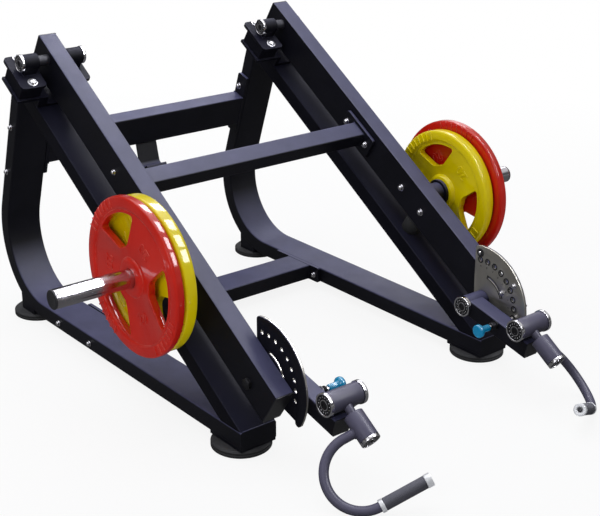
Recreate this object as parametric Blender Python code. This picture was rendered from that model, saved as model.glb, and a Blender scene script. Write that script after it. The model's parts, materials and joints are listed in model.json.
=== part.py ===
"""Plate-loaded shrug machine: a welded stand, a weight lever and two swivelling handles.

Metres, +Z up, front towards -Y. Most side pieces are modelled at +X and mirrored for the left
side. The pivot supports aren't alike: each arm has a long bearing on its -X side, and only the
left arm has a second, short one beside it.
"""

import math

import bmesh
import bpy
from mathutils import Matrix, Vector

# Fits between pieces
SEAM = 0.0003
RUNNING_GAP = 0.0004
LINED_UP = 0.999
BEVEL_ROUND = 0.5

# Stand: one bent rectangular tube and one straight tube on each side
TUBE_INNER_X = 0.3695
TUBE_WIDTH = 0.1105
TUBE_THICK = 0.048
TUBE_CORNER = 0.005
RAIL_BOTTOM = 0.0288
RAIL_FRONT_Y = -0.3991
BEND_CENTRE_Y = 0.6192
BEND_INNER_RADIUS = 0.191
UPRIGHT_LEAN = math.radians(19.25)
DIAGONAL_SLOPE = math.radians(33.3)
DIAGONAL_THICK = 0.050
BEND_STEPS = 12

# Feet
FOOT_RADIUS = 0.0787
FOOT_HEIGHT = 0.021
FOOT_CHAMFER = 0.004
FOOT_CENTRE_X = 0.4284
FRONT_FOOT_Y = -0.3304
FRONT_PAD_LENGTH = 0.134

# The rear feet and their posts, counted forward from the rear of the bend
REAR_FOOT_INSET = 0.1203
REAR_POST_FRONT_INSET = 0.1753
REAR_POST_REAR_INSET = 0.1003

# Cross beams of the stand
FLANGE_THICK = 0.010
BEAM_CORNER = 0.005
REAR_BEAM_DEPTH = 0.051
REAR_BEAM_HEIGHT = 0.1025
REAR_BEAM_TOP_Z = 0.5703
REAR_FLANGE_LENGTH = 0.215
REAR_FLANGE_RISE = 0.0735
FLANGE_CORNER = 0.006
BASE_BEAM_FRONT_Y = 0.3594
BASE_BEAM_WIDTH = 0.1115
BASE_FLANGE_OVERHANG_FRONT = 0.0435
BASE_FLANGE_OVERHANG_REAR = 0.067
BASE_FLANGE_OVERHANG_UP = 0.001
HOOK_PLATE_WIDTH = 0.075
HOOK_PLATE_THICK = 0.008
HOOK_PLATE_DROP = 0.088
HOOK_PLATE_BEND = 0.016
HOOK_PLATE_LIP = 0.020
HOOK_PLATE_SETBACK = 0.010
HOOK_PLATE_LEAN = math.radians(14)
HOOK_PLATE_CURL = math.radians(105)
HOOK_PLATE_STEPS = 6

# Weight lever: two rectangular arms joined by a cross beam, resting a little flatter than the stand
ARM_FLATTER = math.radians(0.25)
ARM_LENGTH = 1.292
ARM_HEIGHT = 0.106
ARM_INNER_X = 0.3906
ARM_WIDTH = 0.0542
ARM_CORNER = 0.004
LEVER_BEAM_ALONG = 0.5125
LEVER_BEAM_WIDTH = 0.0555
LEVER_BEAM_DEPTH = 0.032
LEVER_BEAM_HEIGHT = 0.051
LEVER_FLANGE_LENGTH = 0.141
LEVER_FLANGE_HEIGHT = 0.072
LEVER_FLANGE_CORNER = 0.008

# Lever pivot: a shaft through each arm, held in bearings on a welded saddle.
# PIVOT_RISE is counted square to the stand's sloping top
PIVOT_Y = 0.5409
PIVOT_RISE = 0.12362
PIVOT_ALONG = 0.071
PIVOT_DEPTH = 0.029
PIVOT_SHAFT_RADIUS = 0.015
PIVOT_CAP_RADIUS = 0.025
CAP_THICK = 0.008
PIVOT_END_CAP_THICK = 0.0045
CAP_RECESS_SHARE = 0.70
CAP_RECESS_DEPTH = 0.003
BEARING_RADIUS = 0.0235
BEARING_LENGTH = 0.0455
LONG_BEARING_GAP = 0.0347
SHORT_BEARING_GAP = 0.002
BEARING_FOOT_LENGTH = 0.044
BEARING_FOOT_INSET = 0.002
SADDLE_TOP_PLATE_DEPTH = 0.030
SADDLE_PLATE_THICK = 0.010
SADDLE_TOP_PLATE_REAR = 0.060
SADDLE_TOP_PLATE_FRONT = 0.069
LONG_PLATE_NEAR = 0.052
LONG_PLATE_FAR = 0.1303
SHORT_PLATE_FAR = 0.087
SADDLE_PEDESTAL_INSET = 0.006
SADDLE_PEDESTAL_REAR = 0.036
SADDLE_PEDESTAL_FRONT = 0.056
SADDLE_WING_DEPTH = 0.084
SADDLE_WING_REAR = 0.040
SADDLE_WING_FRONT = 0.062
SADDLE_FLOOR_REAR = 0.095
SADDLE_ARM_CLEARANCE = 0.0057
SADDLE_WELD = 0.002
SADDLE_PLATE_CORNER = 0.012

# Rubber bumpers that the arms rest on
BUMPER_RADIUS = 0.0275
BUMPER_ALONG = 0.855
BUMPER_GROOVE_DEPTH = 0.0025
BUMPER_GROOVE_WIDTH = 0.003
BUMPER_DISC_THICK = 0.003

# Weight horns and plates
HORN_ALONG = 0.822
HORN_DEPTH = 0.055
HORN_RADIUS = 0.025
HORN_END_X = 0.7984
HORN_CAP_THICK = 0.005
HORN_CAP_EDGE = 0.0015
HORN_FLANGE_LENGTH = 0.130
HORN_FLANGE_HEIGHT = 0.048
HORN_FLANGE_THICK = 0.010
HORN_FLANGE_CORNER = 0.010
HORN_SLEEVE_RADIUS = 0.032
HORN_STOP_RADIUS = 0.040
HORN_STOP_THICK = 0.010
PLATE_STACK_X = 0.5087
INNER_PLATE_RADIUS = {"left": 0.205, "right": 0.187}
INNER_PLATE_THICK = 0.040
INNER_PLATE_TURN = {"left": math.radians(98), "right": math.radians(75)}
OUTER_PLATE_RADIUS = 0.210
OUTER_PLATE_THICK = 0.0307
OUTER_PLATE_TURN = {"left": math.radians(66), "right": math.radians(115)}
WEIGHT_RIM_WIDTH = 0.033
WEIGHT_HUB_RADIUS = 0.048
WEIGHT_WEB_THICK = 0.017
WEIGHT_SLOPE_WIDTH = 0.006
HAND_HOLE_COUNT = 3
HAND_HOLE_INNER = 0.080
HAND_HOLE_RIM_MARGIN = 0.0425
HAND_HOLE_OUTER_ANGLE = math.radians(62)
HAND_HOLE_INNER_ANGLE = math.radians(26)
HAND_HOLE_CORNER = 0.013

# Index plate at the front of each arm
HUB_FROM_TIP = 0.094
HUB_DEPTH = 0.065
INDEX_THICK = 0.008
INDEX_RIM_RADIUS = 0.158
INDEX_EYE_RADIUS = 0.036
INDEX_REAR_REACH = 0.034
INDEX_REAR_FOOT = 0.0395
INDEX_TIP_ANGLE = math.radians(-30.5)
INDEX_TIP_RADIUS = 0.011
INDEX_TIP_TURN = math.radians(162)
INDEX_EYE_START = math.radians(262)
INDEX_EYE_END = math.radians(385)
INDEX_REAR_CORNER = 0.008
INDEX_RIM_STEPS = 16
PIN_CIRCLE_RADIUS = 0.1175
PIN_HOLE_COUNT = 9
PIN_HOLE_SPACING = math.radians(13.25)
PIN_LOWEST_HOLE = math.radians(-9.0)
PIN_RADIUS = 0.006
PIN_HOLE_RADIUS = 0.0067
SLOT_RADIUS = 0.074
SLOT_HALF_WIDTH = 0.0045
SLOT_LOW = math.radians(20)
SLOT_HIGH = math.radians(79)

# Links: a short tube on each hub, set by the pop pin
HUB_AXLE_RADIUS = 0.015
HUB_CAP_RADIUS = 0.0285
HUB_CAP_THICK = 0.0133
HUB_NUT_RADIUS = 0.016
HUB_NUT_THICK = 0.009
HUB_NUT_CHAMFER = 0.0025
LINK_SLOPE = math.radians(13.8)
LINK_INNER_X = 0.3115
LINK_WIDTH = 0.052
LINK_HEIGHT = 0.0475
LINK_REACH = 0.2367
LINK_TAIL = 0.012
LINK_CORNER = 0.004
LINK_HUB_RADIUS = 0.0275
TOOL_OVERSHOOT = 0.01

# Pop pins
PIN_TRAVEL = 0.0085
PIN_TIP_CLEARANCE = 0.0008
PIN_BARREL_RADIUS = 0.0105
PIN_BARREL_LENGTH = 0.0165
PIN_BARREL_BASE_RADIUS = 0.013
PIN_BARREL_BASE_THICK = 0.004
PIN_TIP_CHAMFER = 0.002
KNOB_RADIUS = 0.0185
KNOB_HEAD_LENGTH = 0.016
KNOB_NECK_RADIUS = 0.0095
KNOB_LENGTH = 0.047
KNOB_PIN_DEPTH = 0.024
KNOB_SHOULDER = 0.005
KNOB_CROWN = 0.003
KNOB_CROWN_SHARE = 0.8

# Knuckles: a sleeve turning on a fixed shaft at the front of each link
KNUCKLE_FORWARD = 0.219
KNUCKLE_RISE = 0.011
KNUCKLE_MID_X = 0.3295
KNUCKLE_SHAFT_RADIUS = 0.0125
KNUCKLE_CAP_RADIUS = 0.030
KNUCKLE_CAP_THICK = 0.0097
KNUCKLE_SLEEVE_RADIUS = 0.0275
KNUCKLE_SLEEVE_LENGTH = 0.095
KNUCKLE_EYE_RADIUS = 0.0205
KNUCKLE_EYE_WIDTH = 0.016
KNUCKLE_EYE_GAP = 0.001
KNUCKLE_NECK_HALF = 0.008
KNUCKLE_WINDOW_HALF = 0.009
ROUND_EDGE = 0.0015
KNUCKLE_LOWEST = math.radians(-10)
KNUCKLE_HIGHEST = math.radians(45)
KNUCKLE_WINDOW_MARGIN = math.radians(6)
CRADLE_TOP_WIDTH = 0.094
CRADLE_THICK = 0.018
CRADLE_GAP = 0.001
CRADLE_WELD = 0.006
NECK_WELD = 0.002
CRADLE_SHOULDER_SHARE = 0.35

# Kingpins and swivel sleeves
KINGPIN_RADIUS = 0.010
KINGPIN_ROOT = 0.024
SWIVEL_TOP = 0.0485
SWIVEL_BOTTOM = 0.1266
SWIVEL_RADIUS = 0.0255
SWIVEL_DROP = math.radians(29.5)

# Handles: a bent round tube with a rubber grip
HOOK_START = 0.0889
HOOK_TURN = math.radians(33.4)
HOOK_RAKE = math.radians(4.8)
HOOK_LEAN = math.radians(5.3)
HOOK_TUBE_RADIUS = 0.0122
HOOK_STUB = 0.050
HOOK_BEND_RADIUS = 0.0886
HOOK_ROOT = 0.0175
HOOK_BEND_STEPS = 12
GRIP_LENGTH = 0.134
GRIP_RADIUS = 0.0157
GRIP_CAP_RADIUS = 0.0165
GRIP_CAP_LENGTH = 0.012
GRIP_COLLAR_LENGTH = 0.006
GRIP_EDGE = 0.001
GRIP_RECESS_SHARE = 0.55
GRIP_RECESS_DEPTH = 0.003
FLOOR_TOUCH = 0.0002
SLOPE_HALVINGS = 40

# Facets of round pieces
WEIGHT_SIDES = 32
SHAFT_SIDES = 16
SMALL_SIDES = 8
GRIP_SIDES = 12
FOOT_SIDES = 24
SAME = 1e-6

# Finishes: colour, metallic, roughness
FINISHES = {
    "frame_paint": ((0.022, 0.022, 0.030), 0.2, 0.38),
    "chrome": ((0.80, 0.80, 0.82), 1.0, 0.12),
    "rubber": ((0.018, 0.018, 0.020), 0.0, 0.75),
    "red_coating": ((0.62, 0.035, 0.020), 0.0, 0.45),
    "yellow_coating": ((0.72, 0.58, 0.010), 0.0, 0.45),
    "knob_plastic": ((0.0, 0.28, 0.52), 0.0, 0.35),
    "aluminium": ((0.86, 0.87, 0.88), 0.9, 0.30),
    "black_plastic": ((0.02, 0.02, 0.02), 0.0, 0.5),
}

# Places that follow from the sizes above
TUBE_OUTER_X = TUBE_INNER_X + TUBE_WIDTH
RAIL_TOP = RAIL_BOTTOM + TUBE_THICK
BEND_OUTER_RADIUS = BEND_INNER_RADIUS + TUBE_THICK
BEND_CENTRE_Z = RAIL_BOTTOM + BEND_OUTER_RADIUS
BEND_REAR_Y = BEND_CENTRE_Y + BEND_OUTER_RADIUS
REAR_FOOT_Y = BEND_REAR_Y - REAR_FOOT_INSET
REAR_POST_FRONT_Y = BEND_REAR_Y - REAR_POST_FRONT_INSET
REAR_POST_REAR_Y = BEND_REAR_Y - REAR_POST_REAR_INSET
ARM_OUTER_X = ARM_INNER_X + ARM_WIDTH
ARM_MID_X = ARM_INNER_X + ARM_WIDTH / 2
INDEX_OUTER_X = ARM_INNER_X - SEAM
INDEX_INNER_X = INDEX_OUTER_X - INDEX_THICK
LINK_OUTER_X = LINK_INNER_X + LINK_WIDTH
LINK_MID_X = LINK_INNER_X + LINK_WIDTH / 2
ARM_SLOPE = DIAGONAL_SLOPE - ARM_FLATTER
X_AXIS = Vector((1, 0, 0))


def sloping(slope):
    """The directions forward along a slope and square down from it."""
    forward = Vector((0, -math.cos(slope), -math.sin(slope)))
    return forward, Vector((0, math.sin(slope), -math.cos(slope)))


DIAGONAL_FORWARD, DIAGONAL_DOWN = sloping(DIAGONAL_SLOPE)
ARM_FORWARD, ARM_DOWN = sloping(ARM_SLOPE)
LINK_FORWARD, LINK_DOWN = sloping(LINK_SLOPE)
RAIL_TIP = Vector((0, RAIL_FRONT_Y, RAIL_TOP))


def pivot_place():
    """The pivot at PIVOT_Y, PIVOT_RISE above the stand's sloping top."""
    risen = RAIL_TIP - DIAGONAL_DOWN * PIVOT_RISE
    return risen + DIAGONAL_FORWARD * ((PIVOT_Y - risen.y) / DIAGONAL_FORWARD.y)


PIVOT = pivot_place()
ARM_REAR_TOP = PIVOT - ARM_FORWARD * PIVOT_ALONG - ARM_DOWN * PIVOT_DEPTH


def arm_point(along, depth):
    """The place of a point measured from the arm's rear top corner, in the middle plane."""
    return ARM_REAR_TOP + ARM_FORWARD * along + ARM_DOWN * depth


HORN = arm_point(HORN_ALONG, HORN_DEPTH)
HUB = arm_point(ARM_LENGTH - HUB_FROM_TIP, HUB_DEPTH)
KNUCKLE = Vector((KNUCKLE_MID_X, HUB.y - KNUCKLE_FORWARD, HUB.z + KNUCKLE_RISE))


def hub_point(radius, angle):
    """The (y, z) of a point in polar form about the hub; the angle rises from straight ahead."""
    return HUB.y - radius * math.cos(angle), HUB.z + radius * math.sin(angle)


PIN = Vector((0, *hub_point(PIN_CIRCLE_RADIUS, PIN_LOWEST_HOLE)))


def clear_scene():
    for thing in list(bpy.data.objects):
        bpy.data.objects.remove(thing, do_unlink=True)


def finish(name):
    """The shared Principled material of one finish."""
    known = bpy.data.materials.get(name)
    if known:
        return known
    colour, metallic, roughness = FINISHES[name]
    made = bpy.data.materials.new(name)
    made.use_nodes = True
    shader = made.node_tree.nodes["Principled BSDF"]
    shader.inputs["Base Color"].default_value = (*colour, 1)
    shader.inputs["Metallic"].default_value = metallic
    shader.inputs["Roughness"].default_value = roughness
    made.diffuse_color = (*colour, 1)
    return made


# Solid shapes, each a loose object in world coordinates


def loose(bm):
    """A working object from a bmesh, with its faces pointing out."""
    bmesh.ops.recalc_face_normals(bm, faces=bm.faces)
    mesh = bpy.data.meshes.new("working")
    bm.to_mesh(mesh)
    bm.free()
    made = bpy.data.objects.new("working", mesh)
    bpy.context.scene.collection.objects.link(made)
    return made


def prism(outline, travel):
    """A closed outline of places moved along travel."""
    bm = bmesh.new()
    face = bm.faces.new([bm.verts.new(point) for point in outline])
    pull(bm, face, travel)
    return loose(bm)


def pull(bm, face, travel):
    """Extrudes one face and gives back the face at the new end."""
    made = bmesh.ops.extrude_face_region(bm, geom=[face])["geom"]
    verts = [part for part in made if isinstance(part, bmesh.types.BMVert)]
    bmesh.ops.translate(bm, vec=travel, verts=verts)
    return next(part for part in made if isinstance(part, bmesh.types.BMFace))


def side_prism(outline, low_x, high_x):
    """A prism across the machine from an outline of (y, z) points."""
    points = [Vector((low_x, y, z)) for y, z in outline]
    return prism(points, Vector((high_x - low_x, 0, 0)))


def block(origin, forward, down, low, high, corner=0.0):
    """A box in a tilted frame; low and high hold x, forward and down. corner rounds its edges along x."""
    points = [
        Vector((low[0], 0, 0)) + origin + forward * a + down * b
        for a, b in ((low[1], low[2]), (high[1], low[2]), (high[1], high[2]), (low[1], high[2]))
    ]
    made = prism(points, Vector((high[0] - low[0], 0, 0)))
    if corner:
        round_edges(made, along_x, corner, 3)
    return made


def edge_direction(edge):
    return (edge.verts[1].co - edge.verts[0].co).normalized()


def round_edges(thing, wanted, width, segments):
    """Rounds the edges of a working object that the test picks."""
    bm = bmesh.new()
    bm.from_mesh(thing.data)
    picked = [edge for edge in bm.edges if wanted(edge)]
    bmesh.ops.bevel(
        bm, geom=picked, offset=width, segments=segments, profile=BEVEL_ROUND, affect="EDGES",
        clamp_overlap=True,
    )
    bm.to_mesh(thing.data)
    bm.free()


def turned(profile, centre, axis, sides):
    """A solid of revolution. profile holds (distance along the axis, radius) from end to end."""
    bm = bmesh.new()
    turn = axis.to_track_quat("Z", "Y").to_matrix().to_4x4()
    frame = Matrix.Translation(centre) @ turn
    points = [bm.verts.new(frame @ Vector((radius, 0, along))) for along, radius in profile]
    pairs = list(zip(points, points[1:]))
    if profile[0][1] > 0:
        pairs.append((points[-1], points[0]))
    edges = [bm.edges.new(pair) for pair in pairs]
    bmesh.ops.spin(
        bm, geom=points + edges, cent=centre, axis=axis, dvec=(0, 0, 0),
        angle=math.tau, steps=sides, use_merge=True,
    )
    bmesh.ops.remove_doubles(bm, verts=bm.verts, dist=SAME)
    return loose(bm)


def lies_along(edge, direction):
    return abs(edge_direction(edge).dot(direction)) > LINED_UP


def along_x(edge):
    return lies_along(edge, X_AXIS)


def rod(centre, axis, low, high, radius, sides=SHAFT_SIDES):
    """A plain cylinder from low to high along an axis."""
    return turned([(low, 0), (low, radius), (high, radius), (high, 0)], centre, axis, sides)


def bore_radius(radius, sides=SHAFT_SIDES):
    """A faceted hole's radius that leaves the running gap round a turning shaft."""
    return (radius + RUNNING_GAP) / math.cos(math.pi / sides)


def boolean(base, tool, operation):
    """Joins or cuts a working object with another, which is used up."""
    step = base.modifiers.new("step", "BOOLEAN")
    step.operation = operation
    step.object = tool
    step.solver = "EXACT"
    graph = bpy.context.evaluated_depsgraph_get()
    mesh = bpy.data.meshes.new_from_object(base.evaluated_get(graph))
    base.modifiers.clear()
    base.data = mesh
    bpy.data.objects.remove(tool, do_unlink=True)
    return base


def union(base, *tools):
    for tool in tools:
        boolean(base, tool, "UNION")
    return base


def cut(base, *tools):
    """Cuts with one tool, or in one step with several that stand clear of each other."""
    bm = bmesh.new()
    for tool in tools:
        bm.from_mesh(tool.data)
        bpy.data.objects.remove(tool, do_unlink=True)
    return boolean(base, loose(bm), "DIFFERENCE")
    return base


def arc(centre, radius, start, end, steps):
    """Points of (y, z) round a centre, the angle counted from +Y towards +Z."""
    return [
        (
            centre[0] + radius * math.cos(start + (end - start) * i / steps),
            centre[1] + radius * math.sin(start + (end - start) * i / steps),
        )
        for i in range(steps + 1)
    ]


def meet(point, along, other, other_along):
    """Where two (y, z) lines cross, each a point and a direction."""
    det = along[0] * other_along[1] - along[1] * other_along[0]
    gap = (other[0] - point[0], other[1] - point[1])
    share = (gap[0] * other_along[1] - gap[1] * other_along[0]) / det
    return point[0] + share * along[0], point[1] + share * along[1]


# Placing: joint empties and named pieces

JOINTS = {}


def joint_empty(name, place, parent=None):
    """An empty on a joint's axis, which the pieces that move about it hang from."""
    made = bpy.data.objects.new(name, None)
    bpy.context.scene.collection.objects.link(made)
    made.empty_display_size = 0.05
    base = Vector((0, 0, 0))
    if parent:
        made.parent = bpy.data.objects[parent]
        base = JOINTS[parent]
    made.location = place - base
    JOINTS[name] = Vector(place)


def piece(name, thing, finish_name, joint=None, sign=1):
    """Names a working object, mirrors it for the left side and hangs it from its joint."""
    mesh = thing.data
    if sign < 0:
        mesh.transform(Matrix.Scale(-1, 4, X_AXIS))
        mesh.flip_normals()
    if joint:
        mesh.transform(Matrix.Translation(-JOINTS[joint]))
        thing.parent = bpy.data.objects[joint]
    thing.name = name
    mesh.name = name
    mesh.materials.clear()
    mesh.materials.append(finish(finish_name))
    mesh.shade_smooth()
    mesh.set_sharp_from_angle(angle=math.radians(35))
    return thing


def mirrored(place, sign):
    return Vector((place.x * sign, place.y, place.z))


# Stand


def upright_direction():
    return -math.sin(UPRIGHT_LEAN), math.cos(UPRIGHT_LEAN)


def bend_end(radius):
    return (
        BEND_CENTRE_Y + radius * math.cos(UPRIGHT_LEAN),
        BEND_CENTRE_Z + radius * math.sin(UPRIGHT_LEAN),
    )


def frame_top_at(point, direction):
    """Where a line up the upright meets the sloping top of the stand."""
    slope = (math.cos(DIAGONAL_SLOPE), math.sin(DIAGONAL_SLOPE))
    return meet(point, direction, (RAIL_FRONT_Y, RAIL_TOP), slope)


def base_tube():
    """Rail, rear bend and upright, with the pad and post that stand on the feet."""
    lean = upright_direction()
    seat = FOOT_HEIGHT + SEAM
    start = -math.pi / 2

    def bend_angle(y):
        return -math.acos((y - BEND_CENTRE_Y) / BEND_OUTER_RADIUS)

    centre = (BEND_CENTRE_Y, BEND_CENTRE_Z)
    post_low = bend_angle(REAR_POST_FRONT_Y)
    post_high = bend_angle(REAR_POST_REAR_Y)
    pad_end = RAIL_FRONT_Y + FRONT_PAD_LENGTH
    outline = [(RAIL_FRONT_Y, seat), (pad_end, seat), (pad_end, RAIL_BOTTOM)]
    outline += arc(centre, BEND_OUTER_RADIUS, start, post_low, 3)
    outline += [(REAR_POST_FRONT_Y, seat), (REAR_POST_REAR_Y, seat)]
    outline += arc(centre, BEND_OUTER_RADIUS, post_high, UPRIGHT_LEAN, 6)
    outline.append(frame_top_at(bend_end(BEND_OUTER_RADIUS), lean))
    outline.append(frame_top_at(bend_end(BEND_INNER_RADIUS), lean))
    outline += arc(centre, BEND_INNER_RADIUS, UPRIGHT_LEAN, start, BEND_STEPS)
    outline.append((RAIL_FRONT_Y, RAIL_TOP))
    made = side_prism(outline, TUBE_INNER_X, TUBE_OUTER_X)
    return round_tube_sides(made, TUBE_CORNER)


def round_tube_sides(thing, width):
    """Rounds the edges where a tube's side walls meet its other faces."""
    xs = [vert.co.x for vert in thing.data.vertices]
    low, high = min(xs), max(xs)

    def on_side(edge):
        a, b = (vert.co.x for vert in edge.verts)
        return abs(a - b) < SAME and min(abs(a - low), abs(a - high)) < SAME

    round_edges(thing, on_side, width, 2)
    return thing


def diagonal_tube():
    """The straight tube from the rail's front to the upright's head."""
    slope = (math.cos(DIAGONAL_SLOPE), math.sin(DIAGONAL_SLOPE))
    lean = upright_direction()
    seat = RAIL_TOP + SEAM
    front = bend_end(BEND_INNER_RADIUS)
    front = (front[0] - SEAM, front[1])
    under = (
        RAIL_FRONT_Y + DIAGONAL_THICK * math.sin(DIAGONAL_SLOPE),
        RAIL_TOP - DIAGONAL_THICK * math.cos(DIAGONAL_SLOPE),
    )
    tip = (RAIL_FRONT_Y, RAIL_TOP)
    outline = [
        meet(tip, slope, (0, seat), (1, 0)),
        meet(under, slope, (0, seat), (1, 0)),
        meet(under, slope, front, lean),
        meet(tip, slope, front, lean),
    ]
    made = side_prism(outline, TUBE_INNER_X, TUBE_OUTER_X)
    low, high = TUBE_INNER_X, TUBE_OUTER_X

    def long_side(edge):
        a, b = (vert.co for vert in edge.verts)
        flat = abs(a.x - b.x) < SAME and min(abs(a.x - low), abs(a.x - high)) < SAME
        return flat and lies_along(edge, DIAGONAL_FORWARD)

    round_edges(made, long_side, TUBE_CORNER, 2)
    return made


def foot(y):
    """A rubber disc with chamfered rims."""
    profile = [
        (0, 0),
        (0, FOOT_RADIUS - FOOT_CHAMFER),
        (FOOT_CHAMFER, FOOT_RADIUS),
        (FOOT_HEIGHT - FOOT_CHAMFER, FOOT_RADIUS),
        (FOOT_HEIGHT, FOOT_RADIUS - FOOT_CHAMFER),
        (FOOT_HEIGHT, 0),
    ]
    return turned(profile, Vector((FOOT_CENTRE_X, y, 0)), Vector((0, 0, 1)), FOOT_SIDES)


def rear_beam_corner():
    """Where the rear beam's top meets the uprights' front faces."""
    top = meet(bend_end(BEND_INNER_RADIUS), upright_direction(), (0, REAR_BEAM_TOP_Z), (1, 0))
    return Vector((0, *top))


def rear_crossbeam():
    """A tall tube between the uprights, leaning with them, on a bolted flange at each end."""
    across = Vector((0, math.cos(UPRIGHT_LEAN), math.sin(UPRIGHT_LEAN)))
    down = Vector((0, math.sin(UPRIGHT_LEAN), -math.cos(UPRIGHT_LEAN)))
    origin = rear_beam_corner()
    half = TUBE_INNER_X - SEAM
    inset = (REAR_BEAM_DEPTH - TUBE_THICK) / 2
    beam = block(
        origin, across, down,
        (-half + FLANGE_THICK / 2, -inset, 0),
        (half - FLANGE_THICK / 2, REAR_BEAM_DEPTH - inset, REAR_BEAM_HEIGHT),
        BEAM_CORNER,
    )
    for side in (-1, 1):
        low, high = sorted((side * half, side * (half - FLANGE_THICK)))
        flange = block(
            origin, across, down,
            (low, 0, -REAR_FLANGE_RISE), (high, TUBE_THICK, REAR_FLANGE_LENGTH - REAR_FLANGE_RISE),
            FLANGE_CORNER,
        )
        union(beam, flange)
    return beam


def base_crossbeam():
    """A flat tube between the rails, on a bolted flange at each end."""
    origin = Vector((0, BASE_BEAM_FRONT_Y, RAIL_BOTTOM))
    back = Vector((0, 1, 0))
    up = Vector((0, 0, 1))
    half = TUBE_INNER_X - SEAM
    beam = block(
        origin, back, up,
        (-half + FLANGE_THICK / 2, 0, 0), (half - FLANGE_THICK / 2, BASE_BEAM_WIDTH, TUBE_THICK),
        BEAM_CORNER,
    )
    for side in (-1, 1):
        low, high = sorted((side * half, side * (half - FLANGE_THICK)))
        flange = block(
            origin, back, up,
            (low, -BASE_FLANGE_OVERHANG_FRONT, -BASE_FLANGE_OVERHANG_UP),
            (high, BASE_BEAM_WIDTH + BASE_FLANGE_OVERHANG_REAR, TUBE_THICK + BASE_FLANGE_OVERHANG_UP),
            FLANGE_CORNER,
        )
        union(beam, flange)
    return beam


def hook_plate():
    """A bent tongue under the middle of the rear beam, with an upturned lip."""
    down = Vector((0, math.sin(UPRIGHT_LEAN), -math.cos(UPRIGHT_LEAN)))
    across = Vector((0, math.cos(UPRIGHT_LEAN), math.sin(UPRIGHT_LEAN)))
    inset = (REAR_BEAM_DEPTH - TUBE_THICK) / 2
    start = rear_beam_corner() + down * (REAR_BEAM_HEIGHT + SEAM) + across * (HOOK_PLATE_SETBACK - inset)
    outer = HOOK_PLATE_BEND + HOOK_PLATE_THICK
    drop = Vector((0, -math.sin(HOOK_PLATE_LEAN), -math.cos(HOOK_PLATE_LEAN)))
    ahead = Vector((0, -math.cos(HOOK_PLATE_LEAN), math.sin(HOOK_PLATE_LEAN)))
    centre = start + drop * (HOOK_PLATE_DROP - outer) + ahead * HOOK_PLATE_BEND
    turns = [HOOK_PLATE_CURL * i / HOOK_PLATE_STEPS for i in range(HOOK_PLATE_STEPS + 1)]
    inner = [centre + (drop * math.sin(t) - ahead * math.cos(t)) * HOOK_PLATE_BEND for t in turns]
    far = [centre + (drop * math.sin(t) - ahead * math.cos(t)) * outer for t in turns]
    lip = (ahead * math.sin(turns[-1]) + drop * math.cos(turns[-1])) * HOOK_PLATE_LIP
    outline = [start] + inner + [inner[-1] + lip, far[-1] + lip] + far[::-1]
    outline.append(start + across * HOOK_PLATE_THICK)
    points = [point - X_AXIS * (HOOK_PLATE_WIDTH / 2) for point in outline]
    return prism(points, X_AXIS * HOOK_PLATE_WIDTH)


def bearing_sides(sign):
    """The sides of an arm that have a bearing: -1 is its -X side."""
    return (-1, 1) if sign < 0 else (-1,)


def saddle(sign):
    """Welded saddle of one side: a floor on the stand, wings, and a pedestal under each bearing."""
    middle = sign * ARM_MID_X
    tube_low, tube_high = sorted((sign * TUBE_INNER_X, sign * TUBE_OUTER_X))
    floor_low = PIVOT_RISE - SEAM
    floor_high = floor_low - SADDLE_PLATE_THICK
    wing_low = SADDLE_WING_DEPTH + SADDLE_PLATE_THICK
    well = ARM_WIDTH / 2 + SADDLE_ARM_CLEARANCE
    low = middle - LONG_PLATE_FAR
    high = middle + SHORT_PLATE_FAR
    section = [
        (low, SADDLE_WING_DEPTH), (middle - well, SADDLE_WING_DEPTH), (middle - well, floor_high),
        (middle + well, floor_high), (middle + well, SADDLE_WING_DEPTH), (high, SADDLE_WING_DEPTH),
        (high, wing_low), (tube_high, wing_low), (tube_high, floor_low),
        (tube_low, floor_low), (tube_low, wing_low), (low, wing_low),
    ]
    start = PIVOT - DIAGONAL_FORWARD * SADDLE_WING_REAR
    points = [start + X_AXIS * x + DIAGONAL_DOWN * depth for x, depth in section]
    body = prism(points, DIAGONAL_FORWARD * (SADDLE_WING_REAR + SADDLE_WING_FRONT))
    rear_floor = block(
        PIVOT, DIAGONAL_FORWARD, DIAGONAL_DOWN,
        (tube_low, -SADDLE_FLOOR_REAR, floor_high), (tube_high, SADDLE_WELD - SADDLE_WING_REAR, floor_low),
    )
    union(body, rear_floor)
    for side in bearing_sides(sign):
        reach = (LONG_PLATE_NEAR, LONG_PLATE_FAR) if side < 0 else (well, SHORT_PLATE_FAR)
        near, far = (middle + side * x for x in reach)
        union(body, *pedestal(min(near, far), max(near, far)))
    return body


def pedestal(low, high):
    """The post and the rounded top plate that one bearing stands on."""
    plate_low = SADDLE_TOP_PLATE_DEPTH + SADDLE_PLATE_THICK
    post = block(
        PIVOT, DIAGONAL_FORWARD, DIAGONAL_DOWN,
        (low + SADDLE_PEDESTAL_INSET, -SADDLE_PEDESTAL_REAR, plate_low - SADDLE_WELD),
        (high - SADDLE_PEDESTAL_INSET, SADDLE_PEDESTAL_FRONT, SADDLE_WING_DEPTH + SADDLE_WELD),
    )
    plate = block(
        PIVOT, DIAGONAL_FORWARD, DIAGONAL_DOWN,
        (low, -SADDLE_TOP_PLATE_REAR, SADDLE_TOP_PLATE_DEPTH), (high, SADDLE_TOP_PLATE_FRONT, plate_low),
    )
    round_edges(plate, lambda edge: lies_along(edge, DIAGONAL_DOWN), SADDLE_PLATE_CORNER, 3)
    return post, plate


def bearing_ends(side):
    """Where a bearing starts and ends along X, from the arm's middle."""
    gap = LONG_BEARING_GAP if side < 0 else SHORT_BEARING_GAP
    start = ARM_WIDTH / 2 + gap
    return side * start, side * (start + BEARING_LENGTH)


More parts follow.
